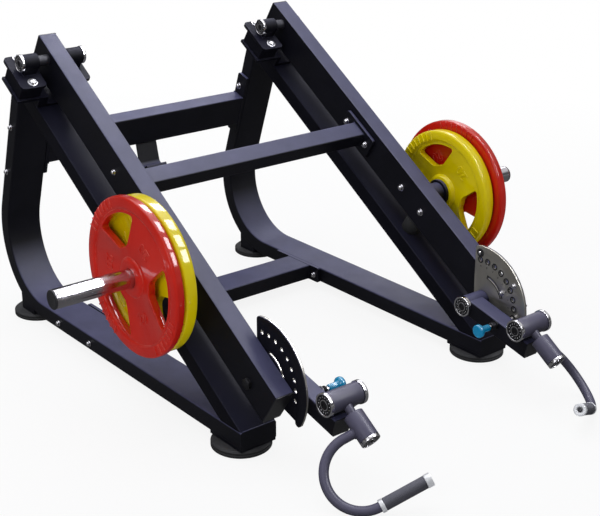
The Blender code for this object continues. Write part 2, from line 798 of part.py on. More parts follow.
def bearing(sign, side):
    """A pivot bearing housing with its foot, on one side of one arm."""
    low, high = (sign * ARM_MID_X + end for end in sorted(bearing_ends(side)))
    house = rod(PIVOT, X_AXIS, low, high, BEARING_RADIUS)
    foot_block = block(
        PIVOT, DIAGONAL_FORWARD, DIAGONAL_DOWN,
        (low + BEARING_FOOT_INSET, -BEARING_FOOT_LENGTH / 2, 0),
        (high - BEARING_FOOT_INSET, BEARING_FOOT_LENGTH / 2, SADDLE_TOP_PLATE_DEPTH - SEAM),
    )
    union(house, foot_block)
    bore = bore_radius(PIVOT_SHAFT_RADIUS)
    return cut(house, rod(PIVOT, X_AXIS, low - TOOL_OVERSHOOT, high + TOOL_OVERSHOOT, bore))


def capped_end(face, out, radius, thick):
    """The profile of a ring cap with a recessed face, from its middle outwards."""
    recess = radius * CAP_RECESS_SHARE
    tip = face + out * thick
    floor = tip - out * CAP_RECESS_DEPTH
    return [(floor, 0), (floor, recess), (tip, recess), (tip, radius), (face, radius)]


def capped_shaft(centre, low, high, radius, cap_radius, low_cap, high_cap):
    """A shaft along X with a ring cap at each end."""
    left = capped_end(low, -1, cap_radius, low_cap)
    right = capped_end(high, 1, cap_radius, high_cap)
    profile = left + [(low, radius), (high, radius)] + right[::-1]
    return turned(profile, centre, X_AXIS, SHAFT_SIDES)


def pivot_shaft(sign):
    """The arm's axle, capped just past its outermost bearing or, without one, at the arm."""
    low = bearing_ends(-1)[1] - SEAM
    high = (bearing_ends(1)[1] if 1 in bearing_sides(sign) else ARM_WIDTH / 2) + SEAM
    middle = sign * ARM_MID_X
    return capped_shaft(
        PIVOT, middle + low, middle + high, PIVOT_SHAFT_RADIUS, PIVOT_CAP_RADIUS,
        CAP_THICK, CAP_THICK if 1 in bearing_sides(sign) else PIVOT_END_CAP_THICK,
    )


def bumper():
    """A rubber buffer standing on the diagonal under the arm, with a grooved top disc."""
    seat = arm_point(BUMPER_ALONG, ARM_HEIGHT) + X_AXIS * ARM_MID_X
    height = (RAIL_TIP - seat).dot(DIAGONAL_DOWN)
    tilt = abs(ARM_FLATTER) * BUMPER_RADIUS
    top = height - SEAM - tilt
    groove_top = top - BUMPER_DISC_THICK
    groove_low = groove_top - BUMPER_GROOVE_WIDTH
    waist = BUMPER_RADIUS - BUMPER_GROOVE_DEPTH
    profile = [
        (SEAM, 0), (SEAM, BUMPER_RADIUS), (groove_low, BUMPER_RADIUS), (groove_low, waist),
        (groove_top, waist), (groove_top, BUMPER_RADIUS), (top, BUMPER_RADIUS), (top, 0),
    ]
    return turned(profile, seat + DIAGONAL_DOWN * height, -DIAGONAL_DOWN, SHAFT_SIDES)


# Weight lever


def arm():
    made = block(
        ARM_REAR_TOP, ARM_FORWARD, ARM_DOWN, (ARM_INNER_X, 0, 0), (ARM_OUTER_X, ARM_LENGTH, ARM_HEIGHT)
    )
    round_edges(made, lambda edge: lies_along(edge, ARM_FORWARD), ARM_CORNER, 2)
    low, high = ARM_INNER_X - TOOL_OVERSHOOT, ARM_OUTER_X + TOOL_OVERSHOOT
    for place, radius in ((PIVOT, PIVOT_SHAFT_RADIUS), (HUB, HUB_AXLE_RADIUS)):
        cut(made, rod(place, X_AXIS, low, high, bore_radius(radius)))
    return made


def lever_crossbeam():
    origin = ARM_REAR_TOP
    half = ARM_INNER_X - SEAM
    middle = LEVER_BEAM_ALONG + LEVER_BEAM_WIDTH / 2
    beam = block(
        origin, ARM_FORWARD, ARM_DOWN,
        (-half + FLANGE_THICK / 2, LEVER_BEAM_ALONG, LEVER_BEAM_DEPTH),
        (half - FLANGE_THICK / 2, LEVER_BEAM_ALONG + LEVER_BEAM_WIDTH, LEVER_BEAM_DEPTH + LEVER_BEAM_HEIGHT),
        BEAM_CORNER,
    )
    mid_depth = LEVER_BEAM_DEPTH + LEVER_BEAM_HEIGHT / 2
    for side in (-1, 1):
        low, high = sorted((side * half, side * (half - FLANGE_THICK)))
        flange = block(
            origin, ARM_FORWARD, ARM_DOWN,
            (low, middle - LEVER_FLANGE_LENGTH / 2, mid_depth - LEVER_FLANGE_HEIGHT / 2),
            (high, middle + LEVER_FLANGE_LENGTH / 2, mid_depth + LEVER_FLANGE_HEIGHT / 2),
            LEVER_FLANGE_CORNER,
        )
        union(beam, flange)
    return beam


def horn_base():
    """Bolted flange, sleeve and stop ring, bored for the horn."""
    face = ARM_OUTER_X + SEAM
    stop = PLATE_STACK_X - SEAM
    bore = HORN_RADIUS + SEAM
    profile = [
        (face, bore), (face, HORN_SLEEVE_RADIUS), (stop - HORN_STOP_THICK, HORN_SLEEVE_RADIUS),
        (stop - HORN_STOP_THICK, HORN_STOP_RADIUS), (stop, HORN_STOP_RADIUS), (stop, bore),
    ]
    sleeve = turned(profile, HORN, X_AXIS, SHAFT_SIDES)
    flange = block(
        HORN, ARM_FORWARD, ARM_DOWN,
        (face, -HORN_FLANGE_LENGTH / 2, -HORN_FLANGE_HEIGHT / 2),
        (face + HORN_FLANGE_THICK, HORN_FLANGE_LENGTH / 2, HORN_FLANGE_HEIGHT / 2),
        HORN_FLANGE_CORNER,
    )
    cut(flange, rod(HORN, X_AXIS, face - TOOL_OVERSHOOT, stop, bore))
    return union(sleeve, flange)


def horn():
    """The plain bar that carries the plates, from the arm's side to its end cap."""
    return rod(HORN, X_AXIS, ARM_OUTER_X + SEAM, HORN_END_X - HORN_CAP_THICK - SEAM, HORN_RADIUS)


def horn_cap():
    low = HORN_END_X - HORN_CAP_THICK
    profile = [
        (low, 0), (low, HORN_RADIUS), (HORN_END_X - HORN_CAP_EDGE, HORN_RADIUS),
        (HORN_END_X, HORN_RADIUS - HORN_CAP_EDGE), (HORN_END_X, 0),
    ]
    return turned(profile, HORN, X_AXIS, SHAFT_SIDES)


def weight_plate(start, thick, radius, turn):
    """A coated weight plate: full-depth rim and hub, a thinner web and its hand holes."""
    middle = start + thick / 2
    web = WEIGHT_WEB_THICK / 2
    rim = radius - WEIGHT_RIM_WIDTH
    bore = bore_radius(HORN_RADIUS, WEIGHT_SIDES)
    half = thick / 2
    near = [
        (half, bore), (half, WEIGHT_HUB_RADIUS), (web, WEIGHT_HUB_RADIUS + WEIGHT_SLOPE_WIDTH),
        (web, rim), (half, rim + WEIGHT_SLOPE_WIDTH), (half, radius),
    ]
    profile = [(middle - a, r) for a, r in near] + [(middle + a, r) for a, r in near[::-1]]
    made = turned(profile, HORN, X_AXIS, WEIGHT_SIDES)
    for i in range(HAND_HOLE_COUNT):
        cut(made, hand_hole(turn + math.tau * i / HAND_HOLE_COUNT, middle, thick, radius))
    return made


def hand_hole(turn, middle, thick, radius):
    """The cutter of one hand hole, which narrows towards the hub."""
    outer = HAND_HOLE_OUTER_ANGLE / 2
    inner = HAND_HOLE_INNER_ANGLE / 2
    centre = (HORN.y, HORN.z)
    outline = arc(centre, radius - HAND_HOLE_RIM_MARGIN, turn - outer, turn + outer, 6)
    outline += arc(centre, HAND_HOLE_INNER, turn + inner, turn - inner, 2)
    made = side_prism(outline, middle - thick, middle + thick)
    round_edges(made, lambda edge: along_x(edge) and sharp(edge), HAND_HOLE_CORNER, 3)
    return made


def sharp(edge):
    return len(edge.link_faces) == 2 and edge.calc_face_angle() > math.radians(50)


def hub_arc(radius, start, end, steps):
    """Points of (y, z) round the hub, the angles rising from straight ahead."""
    return [hub_point(radius, start + (end - start) * i / steps) for i in range(steps + 1)]


def index_plate():
    """The sector plate: a rim with pin holes, a guide slot and an eye round the hub."""
    rear_y = HUB.y + INDEX_REAR_REACH
    rim_end = math.pi - math.acos(INDEX_REAR_REACH / INDEX_RIM_RADIUS)
    tip = hub_point(INDEX_RIM_RADIUS - INDEX_TIP_RADIUS, INDEX_TIP_ANGLE)
    turn = math.pi - INDEX_TIP_ANGLE
    outline = hub_arc(INDEX_RIM_RADIUS, rim_end, INDEX_TIP_ANGLE, INDEX_RIM_STEPS)
    outline += arc(tip, INDEX_TIP_RADIUS, turn, turn + INDEX_TIP_TURN, 4)[1:]
    outline += arc((HUB.y, HUB.z), INDEX_EYE_RADIUS, INDEX_EYE_START, INDEX_EYE_END, 8)
    outline.append((rear_y, HUB.z + INDEX_REAR_FOOT))
    made = side_prism(outline, INDEX_INNER_X, INDEX_OUTER_X)
    round_edges(
        made, lambda edge: along_x(edge) and abs(edge.verts[0].co.y - rear_y) < SAME, INDEX_REAR_CORNER, 3
    )
    low, high = INDEX_INNER_X - TOOL_OVERSHOOT, INDEX_OUTER_X + TOOL_OVERSHOOT
    slot = hub_arc(SLOT_RADIUS + SLOT_HALF_WIDTH, SLOT_LOW, SLOT_HIGH, 6)
    slot += hub_arc(SLOT_RADIUS - SLOT_HALF_WIDTH, SLOT_HIGH, SLOT_LOW, 6)
    tools = [side_prism(slot, low, high), rod(HUB, X_AXIS, low, high, bore_radius(HUB_AXLE_RADIUS))]
    for i in range(PIN_HOLE_COUNT):
        y, z = hub_point(PIN_CIRCLE_RADIUS, PIN_LOWEST_HOLE + i * PIN_HOLE_SPACING)
        tools.append(rod(Vector((0, y, z)), X_AXIS, low, high, PIN_HOLE_RADIUS, SMALL_SIDES))
    return cut(made, *tools)


def hub_axle():
    """The link's axle: a ring cap inside, a plain shaft and a nut outside the arm."""
    face = LINK_INNER_X - SEAM
    nut = ARM_OUTER_X + SEAM
    nut_end = nut + HUB_NUT_THICK
    profile = capped_end(face, -1, HUB_CAP_RADIUS, HUB_CAP_THICK) + [
        (face, HUB_AXLE_RADIUS), (nut, HUB_AXLE_RADIUS), (nut, HUB_NUT_RADIUS),
        (nut_end - HUB_NUT_CHAMFER, HUB_NUT_RADIUS), (nut_end, HUB_NUT_RADIUS - HUB_NUT_CHAMFER), (nut_end, 0),
    ]
    return turned(profile, HUB, X_AXIS, SHAFT_SIDES)


# Links, pop pins and knuckles


def link():
    """Tube with its hub sleeve, the cradle under the knuckle and the eye that grips its shaft."""
    half = LINK_HEIGHT / 2
    body = block(
        HUB, LINK_FORWARD, LINK_DOWN, (LINK_INNER_X, -LINK_TAIL, -half), (LINK_OUTER_X, LINK_REACH, half)
    )
    round_edges(body, lambda edge: lies_along(edge, LINK_FORWARD), LINK_CORNER, 2)
    hub_end = INDEX_INNER_X - RUNNING_GAP
    union(body, rod(HUB, X_AXIS, LINK_INNER_X - SEAM / 2, hub_end, LINK_HUB_RADIUS))
    union(body, cradle(), *knuckle_eye())
    low = LINK_INNER_X - TOOL_OVERSHOOT
    pin_bore = bore_radius(PIN_RADIUS, SMALL_SIDES)
    cut(body, rod(HUB, X_AXIS, low, hub_end + TOOL_OVERSHOOT, bore_radius(HUB_AXLE_RADIUS)))
    cut(body, rod(PIN, X_AXIS, low, LINK_OUTER_X + TOOL_OVERSHOOT, pin_bore, SMALL_SIDES))
    eye_low = KNUCKLE_MID_X - KNUCKLE_EYE_WIDTH
    eye_high = KNUCKLE_MID_X + KNUCKLE_EYE_WIDTH
    return cut(body, rod(flat(KNUCKLE), X_AXIS, eye_low, eye_high, KNUCKLE_SHAFT_RADIUS + SEAM))


def flat(place):
    """A place moved to the machine's middle plane."""
    return Vector((0, place.y, place.z))


def cradle():
    """A flared plate that rises from the link's top to just under the knuckle sleeve."""
    centre = flat(KNUCKLE)
    top_of_link = (HUB - centre).dot(LINK_DOWN) - LINK_HEIGHT / 2
    rise = KNUCKLE_SLEEVE_RADIUS + CRADLE_GAP
    flare = CRADLE_TOP_WIDTH / 2
    shoulder = rise + (top_of_link - rise) * CRADLE_SHOULDER_SHARE
    root = top_of_link + CRADLE_WELD
    section = [
        (KNUCKLE_MID_X - flare, rise), (KNUCKLE_MID_X + flare, rise), (KNUCKLE_MID_X + flare, shoulder),
        (LINK_OUTER_X - LINK_CORNER, root), (LINK_INNER_X + LINK_CORNER, root),
        (KNUCKLE_MID_X - flare, shoulder),
    ]
    start = centre - LINK_FORWARD * (CRADLE_THICK / 2)
    points = [start + X_AXIS * x + LINK_DOWN * depth for x, depth in section]
    return prism(points, LINK_FORWARD * CRADLE_THICK)


def knuckle_eye():
    """The neck and eye that carry the knuckle shaft through the sleeve's window."""
    centre = flat(KNUCKLE)
    low = KNUCKLE_MID_X - KNUCKLE_EYE_WIDTH / 2
    high = KNUCKLE_MID_X + KNUCKLE_EYE_WIDTH / 2
    eye = rod(centre, X_AXIS, low, high, KNUCKLE_EYE_RADIUS, SHAFT_SIDES)
    neck = block(
        centre, LINK_FORWARD, LINK_DOWN,
        (low, -KNUCKLE_NECK_HALF, 0),
        (high, KNUCKLE_NECK_HALF, KNUCKLE_SLEEVE_RADIUS + CRADLE_GAP + NECK_WELD),
    )
    return eye, neck


def knuckle_shaft():
    half = KNUCKLE_SLEEVE_LENGTH / 2 + RUNNING_GAP
    return capped_shaft(
        flat(KNUCKLE), KNUCKLE_MID_X - half, KNUCKLE_MID_X + half,
        KNUCKLE_SHAFT_RADIUS, KNUCKLE_CAP_RADIUS, KNUCKLE_CAP_THICK, KNUCKLE_CAP_THICK,
    )


def pin_barrel():
    """The threaded barrel that guides the pop pin, standing on the link's inner face."""
    face = LINK_INNER_X - SEAM
    bore = bore_radius(PIN_RADIUS, SMALL_SIDES)
    profile = [
        (face, bore), (face, PIN_BARREL_BASE_RADIUS),
        (face - PIN_BARREL_BASE_THICK, PIN_BARREL_BASE_RADIUS),
        (face - PIN_BARREL_BASE_THICK, PIN_BARREL_RADIUS),
        (face - PIN_BARREL_LENGTH, PIN_BARREL_RADIUS), (face - PIN_BARREL_LENGTH, bore),
    ]
    return turned(profile, PIN, X_AXIS, SMALL_SIDES)


def knob_end_x():
    return LINK_INNER_X - SEAM - PIN_BARREL_LENGTH - PIN_TRAVEL - RUNNING_GAP


def pop_pin():
    """The locking pin, parked with its tip just short of the index plate."""
    tip = INDEX_INNER_X - PIN_TIP_CLEARANCE
    root = knob_end_x() - KNOB_PIN_DEPTH + SEAM
    profile = [
        (root, 0), (root, PIN_RADIUS), (tip - PIN_TIP_CHAMFER, PIN_RADIUS),
        (tip, PIN_RADIUS - PIN_TIP_CHAMFER), (tip, 0),
    ]
    return turned(profile, PIN, X_AXIS, SMALL_SIDES)


def pin_knob():
    """The pull knob: a domed head and a slim neck with a blind hole for the pin."""
    end = knob_end_x()
    head = end - KNOB_LENGTH
    hole = PIN_RADIUS + SEAM
    waist = head + KNOB_HEAD_LENGTH
    crown = KNOB_RADIUS * KNOB_CROWN_SHARE
    profile = [
        (end - KNOB_PIN_DEPTH, 0), (end - KNOB_PIN_DEPTH, hole), (end, hole), (end, KNOB_NECK_RADIUS),
        (waist + KNOB_SHOULDER, KNOB_NECK_RADIUS), (waist, crown), (waist - KNOB_CROWN, KNOB_RADIUS),
        (head + KNOB_SHOULDER, KNOB_RADIUS), (head + ROUND_EDGE, crown), (head, 0),
    ]
    return turned(profile, PIN, X_AXIS, GRIP_SIDES)


class Swivel:
    """The handle's turning frame: where the swivel axis points and how the hook leaves it."""

    def __init__(self, slope):
        self.axis = Vector((0, -math.cos(slope), -math.sin(slope)))
        self.under = Vector((0, math.sin(slope), -math.cos(slope)))
        out = X_AXIS * math.cos(HOOK_TURN) + self.under * math.sin(HOOK_TURN)
        side = -X_AXIS * math.sin(HOOK_TURN) + self.under * math.cos(HOOK_TURN)
        self.out = out * math.cos(HOOK_RAKE) - self.axis * math.sin(HOOK_RAKE)
        level = self.axis * math.cos(HOOK_RAKE) + out * math.sin(HOOK_RAKE)
        self.down = level * math.cos(HOOK_LEAN) + side * math.sin(HOOK_LEAN)
        self.root = KNUCKLE + self.axis * HOOK_START
        self.bend_start = self.root + self.out * HOOK_STUB
        self.bend_centre = self.bend_start + self.down * HOOK_BEND_RADIUS
        self.grip_start = self.bend_centre + self.down * HOOK_BEND_RADIUS

    def lowest(self):
        """The height of the handle's lowest point: the bend's underside or the grip's collar."""
        reach = math.hypot(self.out.z, self.down.z)
        bend = self.bend_centre.z - HOOK_BEND_RADIUS * reach - HOOK_TUBE_RADIUS
        collar = self.grip_start.z - GRIP_CAP_RADIUS * math.sqrt(1 - self.out.z**2)
        return min(bend, collar)


def resting_swivel():
    """The swivel frame with the handle let down until it meets the floor or the sleeve its stop."""
    low, high = 0.0, LINK_SLOPE + SWIVEL_DROP
    for _ in range(SLOPE_HALVINGS):
        middle = (low + high) / 2
        if Swivel(middle).lowest() > FLOOR_TOUCH:
            low = middle
        else:
            high = middle
    return Swivel(low)


def eased_wall(start, end, radius, edge):
    """The outer part of a turned profile from start to end, with both rims eased."""
    inward = math.copysign(edge, end - start)
    return [
        (start, radius - edge), (start + inward, radius), (end - inward, radius), (end, radius - edge),
    ]


def knuckle_sleeve(swivel):
    """The turning sleeve: two shaft bores, an inner chamber and a window for the link's eye."""
    low = -KNUCKLE_SLEEVE_LENGTH / 2
    high = KNUCKLE_SLEEVE_LENGTH / 2
    chamber = KNUCKLE_EYE_WIDTH / 2 + KNUCKLE_EYE_GAP
    bore = bore_radius(KNUCKLE_SHAFT_RADIUS)
    room = (KNUCKLE_EYE_RADIUS + KNUCKLE_EYE_GAP) / math.cos(math.pi / SHAFT_SIDES)
    profile = [
        (low, bore), (-chamber, bore), (-chamber, room), (chamber, room), (chamber, bore), (high, bore),
    ] + eased_wall(high, low, KNUCKLE_SLEEVE_RADIUS, ROUND_EDGE)
    made = turned(profile, KNUCKLE, X_AXIS, SHAFT_SIDES)
    cut(made, sleeve_window(chamber))
    reach = KNUCKLE_SLEEVE_RADIUS + TOOL_OVERSHOOT
    return cut(made, rod(KNUCKLE, swivel.axis, KINGPIN_ROOT - SEAM, reach, KINGPIN_RADIUS + SEAM))


def sleeve_window(chamber):
    """The cutter of the window: a sector as wide as the neck plus the sleeve's swing."""
    neck = math.atan2(LINK_DOWN.z, LINK_DOWN.y)
    half = math.asin(KNUCKLE_WINDOW_HALF / KNUCKLE_EYE_RADIUS) + KNUCKLE_WINDOW_MARGIN
    start = neck + KNUCKLE_LOWEST - half
    end = neck + KNUCKLE_HIGHEST + half
    centre = (KNUCKLE.y, KNUCKLE.z)
    outline = [centre] + arc(centre, KNUCKLE_SLEEVE_RADIUS + TOOL_OVERSHOOT, start, end, 8)
    return side_prism(outline, KNUCKLE_MID_X - chamber, KNUCKLE_MID_X + chamber)


def kingpin(swivel):
    """The pin that the handle swivels on, with the ring cap that keeps the handle on it."""
    face = SWIVEL_BOTTOM - CAP_THICK
    profile = [(KINGPIN_ROOT, 0), (KINGPIN_ROOT, KINGPIN_RADIUS), (face, KINGPIN_RADIUS)]
    profile += capped_end(face, 1, SWIVEL_RADIUS, CAP_THICK)[::-1]
    return turned(profile, KNUCKLE, swivel.axis, SHAFT_SIDES)


def bent_rod(start, direction, lead, centre, turn_axis, turn, steps, tail, radius, sides):
    """A round bar: a straight lead, one bend about a centre and a straight tail."""
    bm = bmesh.new()
    frame = Matrix.Translation(start) @ direction.to_track_quat("Z", "Y").to_matrix().to_4x4()
    bmesh.ops.create_circle(bm, cap_ends=True, segments=sides, radius=radius, matrix=frame)
    bm.faces.ensure_lookup_table()
    end = pull(bm, bm.faces[0], direction * lead)
    made = bmesh.ops.spin(
        bm, geom=[end], cent=centre, axis=turn_axis, dvec=(0, 0, 0), angle=turn, steps=steps
    )["geom_last"]
    end = next(part for part in made if isinstance(part, bmesh.types.BMFace))
    onward = Matrix.Rotation(turn, 3, turn_axis) @ direction
    pull(bm, end, onward * tail)
    inner = [face for face in bm.faces if all(len(edge.link_faces) > 2 for edge in face.edges)]
    bmesh.ops.delete(bm, geom=inner, context="FACES_ONLY")
    return loose(bm)


def handle(swivel):
    """Swivel sleeve with the hooked tube welded to its side."""
    bottom = SWIVEL_BOTTOM - CAP_THICK - RUNNING_GAP
    bore = bore_radius(KINGPIN_RADIUS)
    profile = [(SWIVEL_TOP, bore), (bottom, bore)]
    profile += eased_wall(bottom, SWIVEL_TOP, SWIVEL_RADIUS, ROUND_EDGE)
    sleeve = turned(profile, KNUCKLE, swivel.axis, SHAFT_SIDES)
    turn_axis = swivel.out.cross(swivel.down).normalized()
    tube_length = GRIP_LENGTH - GRIP_CAP_LENGTH - SEAM
    hook = bent_rod(
        swivel.root + swivel.out * HOOK_ROOT, swivel.out, HOOK_STUB - HOOK_ROOT,
        swivel.bend_centre, turn_axis, math.pi, HOOK_BEND_STEPS, tube_length, HOOK_TUBE_RADIUS, GRIP_SIDES,
    )
    return union(sleeve, hook)


def grip(swivel):
    return grip_ring(swivel, GRIP_COLLAR_LENGTH + SEAM, GRIP_LENGTH - GRIP_CAP_LENGTH - SEAM, GRIP_RADIUS)


def grip_collar(swivel):
    return grip_ring(swivel, 0, GRIP_COLLAR_LENGTH, GRIP_CAP_RADIUS)


def grip_ring(swivel, low, high, radius):
    """A sleeve on the handle's tube with eased rims."""
    bore = bore_radius(HOOK_TUBE_RADIUS, GRIP_SIDES)
    profile = [(low, bore), (high, bore)] + eased_wall(high, low, radius, GRIP_EDGE)
    return turned(profile, swivel.grip_start, -swivel.out, GRIP_SIDES)


def grip_cap(swivel):
    """The end plug with its screw recess."""
    recess = GRIP_CAP_RADIUS * GRIP_RECESS_SHARE
    floor = GRIP_LENGTH - GRIP_RECESS_DEPTH
    profile = [
        (GRIP_LENGTH - GRIP_CAP_LENGTH, 0), (GRIP_LENGTH - GRIP_CAP_LENGTH, GRIP_CAP_RADIUS),
        (GRIP_LENGTH - ROUND_EDGE, GRIP_CAP_RADIUS), (GRIP_LENGTH, GRIP_CAP_RADIUS - ROUND_EDGE),
        (GRIP_LENGTH, recess), (floor, recess), (floor, 0),
    ]
    return turned(profile, swivel.grip_start, -swivel.out, GRIP_SIDES)


# Assembly


def build_stand():
    piece("rear_crossbeam", rear_crossbeam(), "frame_paint")
    piece("base_crossbeam", base_crossbeam(), "frame_paint")
    piece("hook_plate", hook_plate(), "frame_paint")
    for side, sign in (("left", -1), ("right", 1)):
        piece(f"base_tube_{side}", base_tube(), "frame_paint", sign=sign)
        piece(f"diagonal_{side}", diagonal_tube(), "frame_paint", sign=sign)
        piece(f"foot_front_{side}", foot(FRONT_FOOT_Y), "rubber", sign=sign)
        piece(f"foot_rear_{side}", foot(REAR_FOOT_Y), "rubber", sign=sign)
        piece(f"saddle_{side}", saddle(sign), "frame_paint")
        for end in bearing_sides(sign):
            place = "outer" if end == sign else "inner"
            piece(f"bearing_{place}_{side}", bearing(sign, end), "frame_paint")
        piece(f"bumper_{side}", bumper(), "rubber", sign=sign)


def build_lever():
    joint_empty("lever_pivot", PIVOT)
    piece("lever_crossbeam", lever_crossbeam(), "frame_paint", "lever_pivot")
    for side, sign in (("left", -1), ("right", 1)):
        piece(f"arm_{side}", arm(), "frame_paint", "lever_pivot", sign)
        piece(f"pivot_shaft_{side}", pivot_shaft(sign), "chrome", "lever_pivot")
        piece(f"horn_base_{side}", horn_base(), "frame_paint", "lever_pivot", sign)
        piece(f"horn_{side}", horn(), "chrome", "lever_pivot", sign)
        piece(f"horn_cap_{side}", horn_cap(), "black_plastic", "lever_pivot", sign)
        piece(f"index_plate_{side}", index_plate(), "frame_paint", "lever_pivot", sign)
        piece(f"hub_axle_{side}", hub_axle(), "chrome", "lever_pivot", sign)


def build_weights():
    outer_start = PLATE_STACK_X + INNER_PLATE_THICK + SEAM
    outer_thick = OUTER_PLATE_THICK - SEAM
    for side, sign in (("left", -1), ("right", 1)):
        inner = f"inner_plate_slide_{side}"
        outer = f"outer_plate_slide_{side}"
        joint_empty(inner, mirrored(HORN + X_AXIS * PLATE_STACK_X, sign), "lever_pivot")
        joint_empty(outer, mirrored(HORN + X_AXIS * outer_start, sign), inner)
        yellow = weight_plate(
            PLATE_STACK_X, INNER_PLATE_THICK, INNER_PLATE_RADIUS[side], INNER_PLATE_TURN[side]
        )
        piece(f"plate_yellow_{side}", yellow, "yellow_coating", inner, sign)
        red = weight_plate(outer_start, outer_thick, OUTER_PLATE_RADIUS, OUTER_PLATE_TURN[side])
        piece(f"plate_red_{side}", red, "red_coating", outer, sign)


def build_handles():
    swivel = resting_swivel()
    for side, sign in (("left", -1), ("right", 1)):
        hub = f"link_hub_{side}"
        pin = f"pin_slide_{side}"
        knuckle = f"knuckle_pivot_{side}"
        turn = f"handle_swivel_{side}"
        joint_empty(hub, mirrored(HUB + X_AXIS * LINK_MID_X, sign), "lever_pivot")
        joint_empty(pin, mirrored(PIN + X_AXIS * LINK_INNER_X, sign), hub)
        joint_empty(knuckle, mirrored(KNUCKLE, sign), hub)
        joint_empty(turn, mirrored(swivel.root, sign), knuckle)
        piece(f"link_{side}", link(), "frame_paint", hub, sign)
        piece(f"pin_barrel_{side}", pin_barrel(), "chrome", hub, sign)
        piece(f"knuckle_shaft_{side}", knuckle_shaft(), "chrome", hub, sign)
        piece(f"pop_pin_{side}", pop_pin(), "chrome", pin, sign)
        piece(f"pin_knob_{side}", pin_knob(), "knob_plastic", pin, sign)
        piece(f"knuckle_sleeve_{side}", knuckle_sleeve(swivel), "frame_paint", knuckle, sign)
        piece(f"kingpin_{side}", kingpin(swivel), "chrome", knuckle, sign)
        piece(f"handle_{side}", handle(swivel), "frame_paint", turn, sign)
        piece(f"grip_{side}", grip(swivel), "rubber", turn, sign)
        piece(f"grip_collar_{side}", grip_collar(swivel), "aluminium", turn, sign)
        piece(f"grip_cap_{side}", grip_cap(swivel), "aluminium", turn, sign)


def main():
    clear_scene()
    build_stand()
    build_lever()
    build_weights()
    build_handles()


main()
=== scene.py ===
import json
import math

import bmesh
import bpy
from mathutils import Matrix, Vector


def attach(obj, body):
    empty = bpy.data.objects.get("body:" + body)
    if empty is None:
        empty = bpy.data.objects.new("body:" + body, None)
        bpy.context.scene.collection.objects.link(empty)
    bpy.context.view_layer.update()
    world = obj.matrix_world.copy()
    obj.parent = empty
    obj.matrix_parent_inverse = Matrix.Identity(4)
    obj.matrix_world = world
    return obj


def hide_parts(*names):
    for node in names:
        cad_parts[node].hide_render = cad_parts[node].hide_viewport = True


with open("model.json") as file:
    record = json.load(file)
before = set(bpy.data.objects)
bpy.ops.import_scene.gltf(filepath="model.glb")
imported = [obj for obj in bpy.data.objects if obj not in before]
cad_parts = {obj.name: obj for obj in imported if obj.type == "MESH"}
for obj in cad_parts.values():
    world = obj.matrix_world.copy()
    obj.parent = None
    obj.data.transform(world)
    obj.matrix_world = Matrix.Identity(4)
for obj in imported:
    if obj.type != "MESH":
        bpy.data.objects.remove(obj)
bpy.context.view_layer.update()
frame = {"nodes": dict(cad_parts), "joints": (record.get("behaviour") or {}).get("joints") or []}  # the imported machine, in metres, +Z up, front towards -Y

scene = bpy.context.scene
xAxis, yAxis, zAxis = Vector((1, 0, 0)), Vector((0, 1, 0)), Vector((0, 0, 1))
signs = {"left": -1, "right": 1}


# Places and directions that several pieces share

def sloping(degrees):
    turn = math.radians(degrees)
    return Vector((0, -math.cos(turn), -math.sin(turn))), Vector((0, math.sin(turn), -math.cos(turn)))


def facing(place, a, b, c):
    # sets something at a place with its X, Y and Z along three directions
    return Matrix.Translation(place) @ Matrix((a, b, c)).transposed().to_4x4()


slopes = {"arm": 33.05, "stand": 33.3, "link": 13.8}
armForward, armDown = sloping(slopes["arm"])
standForward, standDown = sloping(slopes["stand"])
linkForward, linkDown = sloping(slopes["link"])
armCorner = Vector((0, 0.5846, 0.9052))
railTip = Vector((0, -0.3991, 0.0768))
joints = {joint["name"]: joint for joint in frame["joints"]}


def jointPlace(name):
    return Vector(joints[name]["pos_m"])


def flatPlace(name):
    # a joint's place in the machine's middle plane
    place = jointPlace(name)
    return Vector((0, place.y, place.z))


def onArm(along, depth, x=0.0):
    return armCorner + armForward * along + armDown * depth + xAxis * x


pivot = flatPlace("lever_lift")
hub = flatPlace("link_tilt_right")
knuckle = jointPlace("knuckle_pitch_right")
flatKnuckle = flatPlace("knuckle_pitch_right")
swivelRoot = jointPlace("handle_swivel_right")
swivelAxis = Vector(joints["handle_swivel_right"]["axis"])
horn = onArm(0.822, 0.055)


# Camera

cameraSettings = {
    "place": (-2.0682, -2.5989, 1.6018), "azimuth": -38.90, "elevation": 20.35,
    "lens": 75.13, "sensor": 36, "shiftUp": -0.0383, "clipEnd": 100,
}


def addCamera(settings):
    lens = bpy.data.cameras.new("photoCamera")
    lens.lens = settings["lens"]
    lens.sensor_width = settings["sensor"]
    lens.shift_y = settings["shiftUp"]
    lens.clip_end = settings["clipEnd"]
    camera = bpy.data.objects.new("photoCamera", lens)
    scene.collection.objects.link(camera)
    azimuth, elevation = math.radians(settings["azimuth"]), math.radians(settings["elevation"])
    right = Vector((math.cos(azimuth), math.sin(azimuth), 0))
    level = Vector((math.sin(azimuth), -math.cos(azimuth), 0))
    back = level * math.cos(elevation) + zAxis * math.sin(elevation)
    camera.matrix_world = facing(settings["place"], right, back.cross(right), back)
    scene.camera = camera


addCamera(cameraSettings)
print("camera set")


# Node helpers

def feed(tree, socket, value):
    # gives an input a value, a colour or another node's output
    if isinstance(value, bpy.types.NodeSocket):
        tree.links.new(value, socket)
    elif isinstance(value, tuple) and socket.type == "RGBA":
        socket.default_value = (*value, 1)
    else:
        socket.default_value = value


def addNode(tree, kind, **values):
    made = tree.nodes.new("ShaderNode" + kind)
    for name, value in values.items():
        if name in made.inputs.keys():
            feed(tree, made.inputs[name], value)
        else:
            setattr(made, name, value)
    return made


